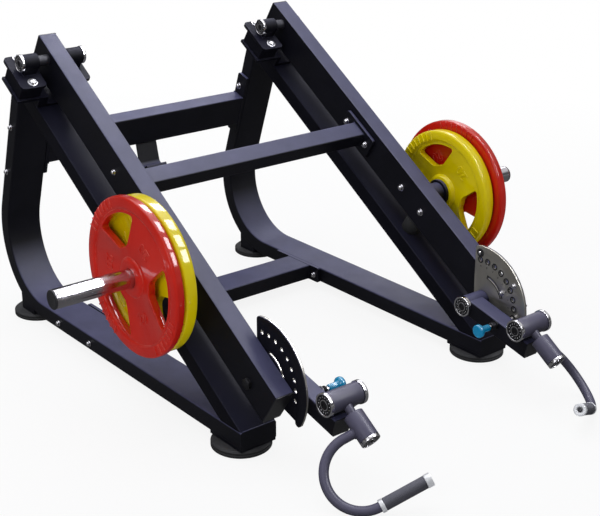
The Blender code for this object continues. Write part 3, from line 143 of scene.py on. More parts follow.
def newGroup(name, inputs, outputs):
    tree = bpy.data.node_groups.new(name, "ShaderNodeTree")
    for label, value in inputs.items():
        socket = tree.interface.new_socket(name=label, in_out="INPUT", socket_type="NodeSocketFloat")
        socket.default_value = value
    for label in outputs:
        tree.interface.new_socket(name=label, in_out="OUTPUT", socket_type="NodeSocketFloat")
    return tree, tree.nodes.new("NodeGroupInput").outputs, tree.nodes.new("NodeGroupOutput").inputs


def mapped(tree, value, low, high, outLow=0.0, outHigh=1.0):
    ends = {"From Min": low, "From Max": high, "To Min": outLow, "To Max": outHigh}
    return addNode(tree, "MapRange", Value=value, **ends).outputs["Result"]


def calculated(tree, operation, *values):
    made = addNode(tree, "Math", operation=operation)
    for socket, value in zip(made.inputs, values):
        feed(tree, socket, value)
    return made.outputs[0]


def mixed(tree, mask, first, second):
    made = addNode(tree, "Mix", data_type="RGBA")
    for slot, value in ((0, mask), (6, first), (7, second)):
        feed(tree, made.inputs[slot], value)
    return made.outputs[2]


def placeOnPiece(tree, kind="Object"):
    return addNode(tree, "TexCoord").outputs[kind]


def noiseAt(tree, scale, detail=2.0, stretch=None):
    place = placeOnPiece(tree)
    if stretch:
        place = addNode(tree, "Mapping", Vector=place, Scale=stretch).outputs["Vector"]
    return addNode(tree, "TexNoise", Vector=place, Scale=scale, Detail=detail).outputs["Fac"]


def coatGrainGroup():
    # a sprayed or moulded skin: fine grain on slow waves
    tree, given, out = newGroup("coatGrain", {"Scale": 700.0, "Waves": 0.5}, ["Height", "Patches"])
    waves = calculated(tree, "MULTIPLY", noiseAt(tree, scale=45), given["Waves"])
    fine = noiseAt(tree, given["Scale"], detail=3)
    feed(tree, out["Height"], calculated(tree, "ADD", fine, waves))
    feed(tree, out["Patches"], mapped(tree, noiseAt(tree, scale=9, detail=4), low=0.3, high=0.7))
    return tree


def edgeWearAndHighlightGroup():
    # a mask on corners, broken up so that it comes and goes: rubbed wear, and on some coats a painted
    # highlight where the edges catch the light
    tree, given, out = newGroup("edgeWearAndHighlight", {"Width": 0.002, "Amount": 0.6}, ["Mask"])
    rounded = addNode(tree, "Bevel", samples=4, Radius=given["Width"]).outputs["Normal"]
    bent = addNode(tree, "VectorMath", operation="DOT_PRODUCT")
    feed(tree, bent.inputs[0], rounded)
    feed(tree, bent.inputs[1], addNode(tree, "NewGeometry").outputs["Normal"])
    corner = mapped(tree, bent.outputs["Value"], low=0.995, high=0.80)
    broken = mapped(tree, noiseAt(tree, scale=60, detail=4), low=0.42, high=0.66)
    rubbedAndLit = calculated(tree, "MULTIPLY", corner, broken)
    feed(tree, out["Mask"], calculated(tree, "MULTIPLY", rubbedAndLit, given["Amount"]))
    return tree


def paintedTopSheenGroup():
    # a painted sheen on whatever faces up, standing for the overhead light's reflection, broken into clouds
    tree, given, out = newGroup("paintedTopSheen", {"Amount": 0.7, "Start": 0.25}, ["Mask"])
    face = addNode(tree, "SeparateXYZ", Vector=placeOnPiece(tree, "Normal"))
    up = mapped(tree, face.outputs["Z"], given["Start"], high=0.95)
    cloud = mapped(tree, noiseAt(tree, scale=14, detail=5), low=0.25, high=0.75, outLow=0.75)
    mask = calculated(tree, "MULTIPLY", up, cloud)
    feed(tree, out["Mask"], calculated(tree, "MULTIPLY", mask, given["Amount"]))
    return tree


def smudgeGroup():
    # fingermarks and hairlines on bright metal
    tree, given, out = newGroup("smudges", {"Amount": 0.12}, ["Roughness", "Height"])
    marks = mapped(tree, noiseAt(tree, scale=30, detail=6), low=0.45, high=0.75)
    feed(tree, out["Roughness"], calculated(tree, "MULTIPLY", marks, given["Amount"]))
    feed(tree, out["Height"], noiseAt(tree, scale=500, stretch=(0.04, 1, 1)))
    return tree


groups = {
    "coatGrain": coatGrainGroup(), "edgeWearAndHighlight": edgeWearAndHighlightGroup(),
    "paintedTopSheen": paintedTopSheenGroup(), "smudges": smudgeGroup(),
}


def useGroup(tree, name, **values):
    made = tree.nodes.new("ShaderNodeGroup")
    made.node_tree = groups[name]
    for label, value in values.items():
        feed(tree, made.inputs[label], value)
    return made.outputs


def bumped(tree, shader, height, depth):
    bump = addNode(tree, "Bump", Strength=1, Distance=depth, Height=height)
    feed(tree, shader.inputs["Normal"], bump.outputs["Normal"])


def newMaterial(name, **plain):
    material = bpy.data.materials.new(name)
    material.use_nodes = True
    shader = material.node_tree.nodes["Principled BSDF"]
    for label, value in plain.items():
        shader.inputs[label.replace("_", " ")].default_value = value
    return material, material.node_tree, shader


def coated(name, colour, patch, edge, paintedSheen, grain, depth, rough, wearAndHighlight=0.3, hazeAmount=0.7, paintedSheenStart=0.25,
           **plain):
    # paint, urethane and moulded skins: a base, patches, corners lightened by wear and by painted highlights,
    # and a painted sheen on top
    material, tree, shader = newMaterial(name, **plain)
    coat = useGroup(tree, "coatGrain", Scale=grain)
    wornAndLit = useGroup(tree, "edgeWearAndHighlight", Amount=wearAndHighlight)
    top = useGroup(tree, "paintedTopSheen", Amount=hazeAmount, Start=paintedSheenStart)
    base = mixed(tree, coat["Patches"], colour, patch)
    base = mixed(tree, top["Mask"], base, paintedSheen)
    feed(tree, shader.inputs["Base Color"], mixed(tree, wornAndLit["Mask"], base, edge))
    feed(tree, shader.inputs["Roughness"], mapped(tree, coat["Patches"], 0, 1, *rough))
    bumped(tree, shader, coat["Height"], depth)
    return material


def brightMetal(name, colour, dull, rough, smudge, depth, metallic=1.0):
    # two tones under fingermarks, which add roughness, and hairlines of some depth
    material, tree, shader = newMaterial(name, Metallic=metallic)
    marks = useGroup(tree, "smudges", Amount=smudge)
    patches = useGroup(tree, "coatGrain")["Patches"]
    feed(tree, shader.inputs["Base Color"], mixed(tree, patches, colour, dull))
    feed(tree, shader.inputs["Roughness"], calculated(tree, "ADD", marks["Roughness"], rough))
    bumped(tree, shader, marks["Height"], depth)
    return material


urethane = {"hazeAmount": 0.25, "Specular_IOR_Level": 0.08, "Coat_Weight": 0.75, "Coat_Roughness": 0.07}
materials = {
    # a slate-blue painted sheen lightens the coat's upward faces, standing for the overhead light's
    # reflection
    "paint": coated(
        "powderCoat", (0.004, 0.004, 0.007), (0.006, 0.006, 0.011), (0.07, 0.07, 0.10), (0.118, 0.119, 0.232),
        grain=900, depth=0.00025, rough=(0.40, 0.50), hazeAmount=0.85, Specular_IOR_Level=0.20,
    ),
    # the same coat painted darker, with less painted sheen and bright painted highlights on its edges:
    # painted shade where it lies under the arms
    "paintShaded": coated(
        "powderCoatShaded", (0.003, 0.003, 0.006), (0.005, 0.005, 0.010), (0.11, 0.11, 0.17),
        (0.050, 0.050, 0.100), grain=900, depth=0.00025, rough=(0.48, 0.58), wearAndHighlight=1.0, hazeAmount=0.30,
        Specular_IOR_Level=0.10,
    ),
    # and the same coat painted lighter, its painted sheen reaching down the sides: painted light on the
    # knuckles and handles
    "paintLit": coated(
        "powderCoatLit", (0.032, 0.030, 0.045), (0.040, 0.038, 0.056), (0.13, 0.12, 0.16),
        (0.140, 0.132, 0.205), grain=900, depth=0.00020, rough=(0.34, 0.44), hazeAmount=0.90,
        paintedSheenStart=-0.45, Specular_IOR_Level=0.28,
    ),
    # its pale pink corners are painted highlights on the rims and raised figures, as well as wear
    "red": coated(
        "redUrethane", (0.54, 0.010, 0.004), (0.63, 0.016, 0.006), (0.86, 0.24, 0.18), (0.66, 0.05, 0.02),
        grain=420, depth=0.0004, rough=(0.30, 0.42), wearAndHighlight=0.8, **urethane,
    ),
    "yellow": coated(
        "yellowUrethane", (0.80, 0.62, 0.0003), (0.88, 0.71, 0.0004), (0.95, 0.88, 0.16), (0.92, 0.84, 0.004),
        grain=420, depth=0.0004, rough=(0.30, 0.42), wearAndHighlight=0.7, **urethane,
    ),
    "rubber": coated(
        "blackRubber", (0.012, 0.012, 0.013), (0.020, 0.020, 0.021), (0.05, 0.05, 0.05), (0.055, 0.055, 0.06),
        grain=1200, depth=0.0003, rough=(0.62, 0.80), wearAndHighlight=0.4,
    ),
    "grip": coated(
        "gripRubber", (0.040, 0.040, 0.052), (0.055, 0.055, 0.070), (0.10, 0.10, 0.12), (0.17, 0.17, 0.215),
        grain=1500, depth=0.0004, rough=(0.60, 0.74),
    ),
    "plastic": coated(
        "blackPlastic", (0.012, 0.012, 0.014), (0.017, 0.017, 0.020), (0.06, 0.06, 0.07), (0.05, 0.05, 0.06),
        grain=1300, depth=0.0002, rough=(0.36, 0.50),
    ),
    "knob": coated(
        "blueKnob", (0.0, 0.23, 0.46), (0.0, 0.27, 0.52), (0.05, 0.45, 0.70), (0.02, 0.40, 0.66),
        grain=1100, depth=0.0001, rough=(0.18, 0.28), hazeAmount=0.4, Coat_Weight=0.4, Coat_Roughness=0.12,
    ),
    "white": coated(
        "paleCap", (0.78, 0.79, 0.80), (0.70, 0.71, 0.73), (0.9, 0.9, 0.9), (0.86, 0.86, 0.87),
        grain=900, depth=0.00015, rough=(0.28, 0.40), Metallic=0.25,
    ),
    "chrome": brightMetal("chrome", (0.80, 0.79, 0.82), (0.72, 0.71, 0.75), 0.08, 0.14, 0.00001),
    "turned": brightMetal("turnedBar", (0.70, 0.67, 0.71), (0.56, 0.54, 0.58), 0.14, 0.16, 0.00012),
    "zinc": brightMetal("zincPlated", (0.80, 0.80, 0.82), (0.70, 0.70, 0.73), 0.32, 0.15, 0.00005),
    "steel": brightMetal("brushedSteel", (0.56, 0.54, 0.49), (0.48, 0.46, 0.42), 0.30, 0.20, 0.00010, 0.85),
    "dark": brightMetal("darkSteel", (0.060, 0.060, 0.066), (0.035, 0.035, 0.040), 0.28, 0.25, 0.00008, 0.9),
    "oiled": brightMetal("oiledSteel", (0.03, 0.03, 0.042), (0.02, 0.02, 0.028), 0.50, 0.15, 0.00008, 0.35),
    "ink": coated(
        "scaleInk", (0.010, 0.010, 0.011), (0.020, 0.020, 0.021), (0.05, 0.05, 0.05), (0.02, 0.02, 0.02),
        grain=1500, depth=0.00005, rough=(0.50, 0.62), wearAndHighlight=0.2, hazeAmount=0.1,
    ),
}
print("materials made:", len(materials))


# Mesh helpers

seam = 0.0003  # what touching pieces keep between them
skin = 0.0002  # what a thin lining or plug keeps from the walls round it
turnGap = 0.0006  # what turning pieces keep round a shaft


def bevelled(bm, parts, offset, segments, affect="EDGES", clamp=False):
    bmesh.ops.bevel(
        bm, geom=parts, offset=offset, segments=segments, profile=0.5, affect=affect,
        clamp_overlap=clamp, material=-1,
    )
    return bm


def softened(bm, width, segments=3, angle=32):
    # bevels the edges whose faces meet at more than an angle
    picked = [
        edge for edge in bm.edges
        if len(edge.link_faces) == 2 and edge.calc_face_angle() > math.radians(angle)
    ]
    return bevelled(bm, picked, width, segments, clamp=True)


def roundedAlong(bm, direction, offset, segments):
    # rounds the edges that run along a direction
    picked = [
        edge for edge in bm.edges
        if abs((edge.verts[1].co - edge.verts[0].co).normalized().dot(direction)) > 0.9
    ]
    return bevelled(bm, picked, offset, segments)


def joined(bm, part):
    # moves everything of one bmesh into another
    mesh = bpy.data.meshes.new("part")
    part.to_mesh(mesh)
    part.free()
    bm.from_mesh(mesh)
    bpy.data.meshes.remove(mesh)
    return bm


def placed(bm, centre, axis=None):
    turn = axis.to_track_quat("Z", "Y").to_matrix().to_4x4() if axis else Matrix.Identity(4)
    bmesh.ops.transform(bm, matrix=Matrix.Translation(centre) @ turn, verts=bm.verts)
    return bm


def hollow(low, high, inner, outer):
    # the section of a ring, or of a rod where the inner radius is 0
    return [(low, inner), (low, outer), (high, outer), (high, inner)]


def spun(profile, steps, soft=0.0, segments=3, angle=32):
    # a solid of revolution about Z from points of (height, radius), with its edges softened
    bm = bmesh.new()
    verts = [bm.verts.new((radius, 0, height)) for height, radius in profile]
    edges = [bm.edges.new(pair) for pair in zip(verts, verts[1:])]
    if profile[0][1] > 0:
        edges.append(bm.edges.new((verts[-1], verts[0])))
    bmesh.ops.spin(
        bm, geom=verts + edges, cent=(0, 0, 0), axis=(0, 0, 1), dvec=(0, 0, 0),
        angle=math.tau, steps=steps, use_merge=True,
    )
    bmesh.ops.remove_doubles(bm, verts=bm.verts, dist=1e-6)
    bmesh.ops.recalc_face_normals(bm, faces=bm.faces)
    return softened(bm, soft, segments, angle) if soft else bm


def addSpun(bm, place, axis, profile, *shape):
    return joined(bm, placed(spun(profile, *shape), place, axis))


def onlyFace(parts):
    return next(part for part in parts if isinstance(part, bmesh.types.BMFace))


def pulled(bm, face, travel):
    made = bmesh.ops.extrude_face_region(bm, geom=[face])["geom"]
    bmesh.ops.translate(bm, vec=travel, verts=[part for part in made if isinstance(part, bmesh.types.BMVert)])
    return onlyFace(made)


def swept(bm, face, centre, axis, angle, steps):
    # carries a face round an axis and leaves the bend behind it
    made = bmesh.ops.spin(bm, geom=[face], cent=centre, axis=axis, dvec=(0, 0, 0), angle=angle, steps=steps)
    return onlyFace(made["geom_last"])


def slab(outline, travel, soft):
    bm = bmesh.new()
    pulled(bm, bm.faces.new([bm.verts.new(point) for point in outline]), travel)
    bmesh.ops.recalc_face_normals(bm, faces=bm.faces)
    return softened(bm, soft, 2) if soft else bm


def rectangle(origin, a, b, low, high):
    corners = ((low[0], low[1]), (high[0], low[1]), (high[0], high[1]), (low[0], high[1]))
    return [origin + a * along + b * up for along, up in corners]


def tiltedBlock(origin, forward, down, low, high, soft=0):
    # a box whose low and high corners are given across, forward and down
    outline = rectangle(origin + xAxis * low[0], forward, down, low[1:], high[1:])
    return slab(outline, xAxis * (high[0] - low[0]), soft)


def insideFacesGone(bm):
    inner = [face for face in bm.faces if all(len(edge.link_faces) > 2 for edge in face.edges)]
    bmesh.ops.delete(bm, geom=inner, context="FACES_ONLY")
    bmesh.ops.recalc_face_normals(bm, faces=bm.faces)


def trimmed(bm, place, outward):
    # cuts off what lies past a plane and closes the cut
    everything = bm.verts[:] + bm.edges[:] + bm.faces[:]
    made = bmesh.ops.bisect_plane(bm, geom=everything, plane_co=place, plane_no=outward, clear_outer=True)
    rim = [part for part in made["geom_cut"] if isinstance(part, bmesh.types.BMEdge)]
    bmesh.ops.holes_fill(bm, edges=rim, sides=0)


def curveMesh(curve):
    holder = bpy.data.objects.new(curve.name, curve)
    scene.collection.objects.link(holder)
    mesh = bpy.data.meshes.new_from_object(holder.evaluated_get(bpy.context.evaluated_depsgraph_get()))
    bpy.data.objects.remove(holder, do_unlink=True)
    bpy.data.curves.remove(curve)
    bm = bmesh.new()
    bm.from_mesh(mesh)
    bpy.data.meshes.remove(mesh)
    bmesh.ops.remove_doubles(bm, verts=bm.verts, dist=1e-6)
    return bm


def ropeMesh(points, radius, closed, ripple=0.0):
    # a tube along points, with ripples where it is a weld bead
    curve = bpy.data.curves.new("line", "CURVE")
    curve.dimensions = "3D"
    curve.bevel_depth = radius
    curve.bevel_resolution = 1
    curve.use_fill_caps = True
    line = curve.splines.new("POLY")
    line.points.add(len(points) - 1)
    line.use_cyclic_u = closed
    for index, (spot, point) in enumerate(zip(line.points, points)):
        spot.co = (*point, 1)
        spot.radius = 1 - ripple * (index % 2)
    bm = curveMesh(curve)
    bmesh.ops.recalc_face_normals(bm, faces=bm.faces)
    return bm


def numberMesh(text, size, thick, soft=0.0):
    letters = bpy.data.curves.new("number", "FONT")
    letters.body = text
    letters.size = size
    letters.align_x = letters.align_y = "CENTER"
    letters.extrude = thick / 2
    letters.bevel_depth = soft
    return curveMesh(letters)


def numberSet(number, place, up, out):
    bmesh.ops.transform(number, matrix=facing(place, up.cross(out), up, out), verts=number.verts)
    return number


bead = {"radius": 0.0024, "fine": 0.0020, "pitch": 0.0032, "ripple": 0.24, "sink": 0.0004}


def weldBead(bm, corners, radius=bead["radius"], closed=True):
    # a ribbed bead along straight runs between corners
    points = []
    for start, end in zip(corners, corners[1:] + corners[:1] if closed else corners[1:]):
        count = max(2, round((end - start).length / bead["pitch"]))
        points += [start.lerp(end, step / count) for step in range(count)]
    if not closed:
        points.append(corners[-1])
    joined(bm, ropeMesh(points, radius, closed, bead["ripple"]))


def weldRound(bm, origin, a, b, low, high, radius=bead["radius"]):
    # a bead round a rectangle
    weldBead(bm, rectangle(origin, a, b, low, high), radius)


def ringPoints(centre, axis, radius, count):
    first = axis.orthogonal().normalized()
    second = axis.cross(first).normalized()
    turns = [math.tau * step / count for step in range(count)]
    return [centre + first * (radius * math.cos(turn)) + second * (radius * math.sin(turn)) for turn in turns]


def mirroredSide(bm, side):
    # pieces are drawn on the right
    if side == "left":
        bmesh.ops.scale(bm, vec=(-1, 1, 1), verts=bm.verts)
        bmesh.ops.recalc_face_normals(bm, faces=bm.faces)
    return bm


def finished(name, bm, material, body, slot, replaced=(), sharp=40, weighted=False):
    mesh = bpy.data.meshes.new(name)
    bm.to_mesh(mesh)
    bm.free()
    mesh.materials.append(materials[material])
    mesh.shade_smooth()
    mesh.set_sharp_from_angle(angle=math.radians(sharp))
    piece = bpy.data.objects.new(name, mesh)
    scene.collection.objects.link(piece)
    if weighted:
        even = piece.modifiers.new("evenShading", "WEIGHTED_NORMAL")
        even.keep_sharp = True
    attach(piece, body)
    if replaced:
        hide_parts(*replaced)


def sided(name, side, bm, material, body, slot, node=None, **looks):
    # finishes a piece that both sides have, in the place of their own node if it has one
    replaced = [f"{node}_{side}"] if node else ()
    finished(f"{name}_{side}", mirroredSide(bm, side), material, body, slot, replaced, **looks)


def nodeCopy(node):
    bm = bmesh.new()
    bm.from_mesh(frame["nodes"][node].data)
    bmesh.ops.remove_doubles(bm, verts=bm.verts, dist=1e-5)
    bmesh.ops.dissolve_limit(
        bm, angle_limit=math.radians(0.6), use_dissolve_boundaries=False, verts=bm.verts, edges=bm.edges,
    )
    return bm


def steelCopy(name, node, material, body):
    # a CAD solid with softened edges and its own finish
    bm = softened(nodeCopy(node), 0.0012, 2, 45)
    finished(name, bm, material, body, "frame_paint", [node], weighted=True)


# Bolts, nuts and ring caps

boltSizes = {"head": 0.0088, "height": 0.0062, "washer": 0.0108, "washerThick": 0.0016}
buttonSizes = {"head": 0.0112, "washer": 0.0140, "washerThick": 0.0018}
capSizes = {"race": 0.85, "sealDrop": 0.0016, "innerOut": 0.46, "innerIn": 0.38,
            "rivets": 14, "rivetRing": 0.655, "rivet": 0.050}


def addButton(bm, place, direction, size):
    # a round nut cap on its washer
    r, seat = size["head"], size["washerThick"]
    profile = [(0, 0), (0, size["washer"]), (seat, size["washer"]), (seat + 0.0002, r), (0.0034, r),
               (0.0058, r * 0.93), (0.0078, r * 0.76), (0.0092, r * 0.50), (0.0100, 0)]
    addSpun(bm, place, direction, profile, 40)


def hexagon(radius, depth, soft):
    head = bmesh.new()
    bmesh.ops.create_cone(head, cap_ends=True, segments=6, radius1=radius, radius2=radius, depth=depth)
    return softened(head, soft, 2)


def addBolt(bm, place, direction, scale=1.0):
    # a washer, a softened hexagon and its crown
    r, height, washer, seat = (value * scale for value in boltSizes.values())
    top = seat + height
    addSpun(bm, place, direction, hollow(0, seat, 0, washer), 32, 0.0005)
    joined(bm, placed(hexagon(r, height, 0.0009 * scale), place + direction * (seat + height / 2), direction))
    crown = [(top - 0.001, 0), (top - 0.001, r * 0.80), (top + 0.0010 * scale, r * 0.72),
             (top + 0.0028 * scale, r * 0.45), (top + 0.0034 * scale, 0)]
    addSpun(bm, place, direction, crown, 32)


def boltThrough(bm, place, sign, inner, outer, innerScale, outerScale):
    # a bolt's two ends on the inner and outer faces of an upright, rail or arm
    addBolt(bm, place + xAxis * sign * outer, xAxis * sign, outerScale)
    if innerScale:
        addBolt(bm, place + xAxis * sign * inner, -xAxis * sign, innerScale)


def addRingCap(bright, dark, face, out, radius, thick):
    # a bearing end: bright race, dark seal with rivets, inner race and a socket screw
    size = capSizes
    race, head, seal = radius * size["race"], radius * size["innerIn"], thick - size["sealDrop"]
    addSpun(bright, face, out, hollow(0, thick, race, radius), 72, 0.0009)
    addSpun(dark, face, out, hollow(skin, seal, 0, race + 0.0004), 64)
    inner = hollow(seal - 0.0005, seal + 0.0009, head, radius * size["innerOut"])
    addSpun(bright, face, out, inner, 48, 0.0003, 2)
    for spot in ringPoints(Vector((0, 0, seal)), zAxis, radius * size["rivetRing"], size["rivets"]):
        rivet = bmesh.new()
        bmesh.ops.create_uvsphere(rivet, u_segments=10, v_segments=6, radius=radius * size["rivet"])
        bmesh.ops.scale(rivet, vec=(1, 1, 0.5), verts=rivet.verts)
        bmesh.ops.translate(rivet, vec=spot, verts=rivet.verts)
        joined(bright, placed(rivet, face, out))
    screw = [(seal - 0.0006, head * 0.55), (seal - 0.0006, head), (seal + 0.0012, head * 0.92),
             (seal + 0.0012, head * 0.55)]
    addSpun(dark, face, out, screw, 40, 0.0003, 2)


# Stand

tube = {"innerX": 0.3695, "width": 0.1105, "thick": 0.048, "corner": 0.005, "bottom": 0.0288,
        "front": -0.3991, "bendY": 0.6192, "bendInner": 0.191, "lean": 19.25, "upright": 0.62}
tubeOuter = tube["innerX"] + tube["width"]
lean = math.radians(tube["lean"])
leanUp, leanBack = Vector((0, -math.sin(lean), math.cos(lean))), Vector((0, math.cos(lean), math.sin(lean)))


def baseTube(size):
    # rail, bend and upright pulled from one rounded section, then cut at the sloping top
    bm = bmesh.new()
    bmesh.ops.create_grid(bm, x_segments=1, y_segments=1, size=0.5)
    bmesh.ops.scale(bm, vec=(size["width"], size["thick"], 1), verts=bm.verts)
    bevelled(bm, bm.verts[:], size["corner"], 5, "VERTICES")
    middle = Vector((size["innerX"] + size["width"] / 2, size["front"], size["bottom"] + size["thick"] / 2))
    bmesh.ops.transform(bm, matrix=facing(middle, xAxis, zAxis, -yAxis), verts=bm.verts)
    bm.faces.ensure_lookup_table()
    end = pulled(bm, bm.faces[0], yAxis * (size["bendY"] - size["front"]))
    centre = Vector((0, size["bendY"], size["bottom"] + size["thick"] + size["bendInner"]))
    end = swept(bm, end, centre, xAxis, math.radians(90 + size["lean"]), 40)
    pulled(bm, end, leanUp * size["upright"])
    insideFacesGone(bm)
    trimmed(bm, railTip, -standDown)
    bmesh.ops.recalc_face_normals(bm, faces=bm.faces)
    return softened(bm, 0.0008, 2, 60)


# what the tube stands on at either end: its first and last y, and its top
footPosts = {"inset": 0.001, "seat": 0.0213, "spans": ((-0.3979, -0.2651, 0.034), (0.6829, 0.7579, 0.084))}
footShape = {"radius": 0.0787, "height": 0.021, "groove": 0.0015, "x": 0.4284,
             "y": {"front": -0.3304, "rear": 0.7379}}


def footDisc(size, y):
    r, h = size["radius"], size["height"]
    groove = r - size["groove"]
    profile = [(0, 0), (0, r - 0.004), (0.003, r), (h * 0.42, r), (h * 0.46, groove), (h * 0.54, groove),
               (h * 0.58, r), (h - 0.005, r), (h - 0.001, r - 0.005), (h, r - 0.010), (h, 0)]
    return placed(spun(profile, 96, 0.0008, 2), Vector((size["x"], y, 0)))


rearBeam = {"corner": Vector((0, 0.71587, 0.5703)), "depth": 0.051, "height": 0.1025, "flange": 0.0100,
            "inset": 0.0015, "boltRow": 0.031, "bolts": (-0.030, 0.1285)}
baseBeam = {"front": 0.3594, "width": 0.1115, "boltY": (0.3385, 0.5200), "boltZ": 0.0500}
steelNodes = {"rearBeam": "rear_crossbeam", "baseBeam": "base_crossbeam", "hookPlate": "hook_plate"}


def buildStand():
    bolts, welds = bmesh.new(), bmesh.new()
    inner = tube["innerX"] - rearBeam["flange"] - seam
    for side, sign in signs.items():
        bm = baseTube(tube)
        for start, end, top in footPosts["spans"]:
            low = (tube["innerX"] + footPosts["inset"], start, footPosts["seat"])
            high = (tubeOuter - footPosts["inset"], end, top)
            joined(bm, tiltedBlock(Vector(), yAxis, zAxis, low, high, 0.0012))
        sided("baseTube", side, bm, "paint", "frame", "frame_paint", "base_tube", weighted=True)
        # the diagonals and saddles in the darker coat, painted shade under the arms
        for name in ("diagonal", "saddle"):
            steelCopy(f"{name}Steel_{side}", f"{name}_{side}", "paintShaded", "frame")
        for end, y in footShape["y"].items():
            finished(f"footDisc_{end}_{side}", mirroredSide(footDisc(footShape, y), side), "rubber", "frame",
                     "rubber", [f"foot_{end}_{side}"])
        # bolts through the uprights and rails into the flanges, where these have their inner ends in view
        for drop in rearBeam["bolts"]:
            place = rearBeam["corner"] + leanBack * rearBeam["boltRow"] - leanUp * drop
            boltThrough(bolts, place, sign, inner, tubeOuter, 1.0 if drop < 0 else 0, 0.85)
        for y in baseBeam["boltY"]:
            place = Vector((0, y, baseBeam["boltZ"]))
            boltThrough(bolts, place, sign, inner, tubeOuter, 0.9 if y < baseBeam["front"] else 0, 0.85)
        # beads round the beams where they meet their flanges, and along the diagonal's foot
        weldX = sign * (inner - bead["sink"])
        weldRound(welds, rearBeam["corner"] + xAxis * weldX, leanBack, -leanUp, (-rearBeam["inset"], 0.001),
                  (rearBeam["depth"] - rearBeam["inset"], rearBeam["height"]))
        weldRound(welds, Vector((weldX, baseBeam["front"], tube["bottom"])), yAxis, zAxis, (0, 0.0010),
                  (baseBeam["width"], tube["thick"] - 0.0010))
        spot = railTip + Vector((0, 0.001, 0.001))
        ends = [spot + xAxis * sign * x for x in (tube["innerX"] + 0.004, tubeOuter - 0.004)]
        weldBead(welds, ends, 0.0018, closed=False)
    for name, node in steelNodes.items():
        steelCopy(f"{name}Steel", node, "paint", "frame")
    finished("standBolts", bolts, "chrome", "frame", "chrome")
    finished("standWelds", welds, "paint", "frame", "frame_paint")
    print("stand built")


buildStand()


# Pivot bearings, shafts and caps

bearing = {"radius": 0.0235, "length": 0.0455, "farGap": 0.0347, "nearGap": 0.0020, "footHalf": 0.022,
           "footInset": 0.002, "plateDepth": 0.030, "shaft": 0.015, "cap": 0.025, "capThick": 0.008,
           "endCap": 0.0045, "armMid": 0.4177, "armHalf": 0.0271, "boltForward": 0.0487,
           "boltAlong": {-1: 0.62, 1: 0.50}}


def buildPivot():
    size = bearing
    bright, dark, shafts, bolts, welds = (bmesh.new() for _ in range(5))
    for side, sign in signs.items():
        middle = sign * size["armMid"]
        reach = {-1: 0.0, 1: size["armHalf"]}
        for end in ((-1, 1) if sign < 0 else (-1,)):
            start = size["armHalf"] + (size["farGap"] if end < 0 else size["nearGap"])
            low, high = sorted((middle + end * start, middle + end * (start + size["length"])))
            house = spun(hollow(0, size["length"], size["shaft"] + turnGap, size["radius"]), 72, 0.0010)
            bm = placed(house, pivot + xAxis * low, xAxis)
            footLow = (low + size["footInset"], -size["footHalf"])
            footHigh = (high - size["footInset"], size["footHalf"])
            foot = tiltedBlock(pivot, standForward, standDown, (*footLow, 0.006),
                               (*footHigh, size["plateDepth"] - seam), 0.0015)
            place = "outer" if end == sign else "inner"
            finished(f"bearingHouse_{place}_{side}", joined(bm, foot), "paintShaded", "frame", "frame_paint",
                     [f"bearing_{place}_{side}"], weighted=True)
            reach[end] = start + size["length"]
            origin = pivot + standDown * (size["plateDepth"] - 0.0009)
            weldRound(welds, origin, xAxis, standForward, footLow, footHigh, bead["fine"])
            boltX = middle + end * (start + size["length"] * size["boltAlong"][end])
            for along in (size["boltForward"], -size["boltForward"]):
                place = pivot + standForward * along + standDown * size["plateDepth"] + xAxis * boltX
                addButton(bolts, place, -standDown, buttonSizes)
        low, high = middle - reach[-1] - seam, middle + reach[1] + seam
        addSpun(shafts, pivot + xAxis * low, xAxis, hollow(0, high - low, 0, size["shaft"]), 64)
        addRingCap(bright, dark, pivot + xAxis * low, -xAxis, size["cap"], size["capThick"])
        thick = size["capThick"] if sign < 0 else size["endCap"]
        addRingCap(bright, dark, pivot + xAxis * high, xAxis, size["cap"], thick)
    nodes = ["pivot_shaft_left", "pivot_shaft_right"]
    finished("pivotShafts", shafts, "oiled", "lever", "chrome", nodes)
    finished("pivotCapRings", bright, "chrome", "lever", "chrome")
    finished("pivotCapSeals", dark, "dark", "lever", "chrome")
    finished("saddleBolts", bolts, "zinc", "frame", "chrome")
    finished("bearingWelds", welds, "paint", "frame", "frame_paint")
    print("pivot built")


buildPivot()


# Weight lever: arms, their end plugs, the beam and its bolts

armShape = {"innerX": 0.3906, "outerX": 0.4448, "length": 1.292, "height": 0.106, "plug": 0.0030,
            "beamBolts": (0.487, 0.587), "hornBolts": (0.771, 0.8715), "boltDepth": 0.055,
            "hornFlange": 0.0103}
leverBeam = {"along": 0.5125, "width": 0.0555, "depth": 0.032, "height": 0.051, "flange": 0.0100,
             "inset": 0.001}
hornBead = {"radius": 0.0328, "thick": 0.0026, "rise": 0.0002}
bumperShape = {"along": 0.855, "radius": 0.0275, "disc": 0.0030, "groove": 0.0030, "drop": 0.0025}


def armTube(node, size):
    # the arm without its last few millimetres, which its end plugs take
    bm = nodeCopy(node)
    trimmed(bm, onArm(size["plug"], 0), -armForward)
    trimmed(bm, onArm(size["length"] - size["plug"], 0), armForward)
    return softened(bm, 0.0008, 2, 45)


def endPlug(bm, forward):
    # the plastic plug of a tube's end, rounded as the tube is
    return softened(roundedAlong(bm, forward, 0.004, 4), 0.0007, 2, 50)


def armPlug(size, along):
    low = (size["innerX"] - 0.0016, along, skin)
    high = (size["outerX"] - skin, along + size["plug"] - seam, size["height"] - skin)
    return endPlug(tiltedBlock(armCorner, armForward, armDown, low, high), armForward)


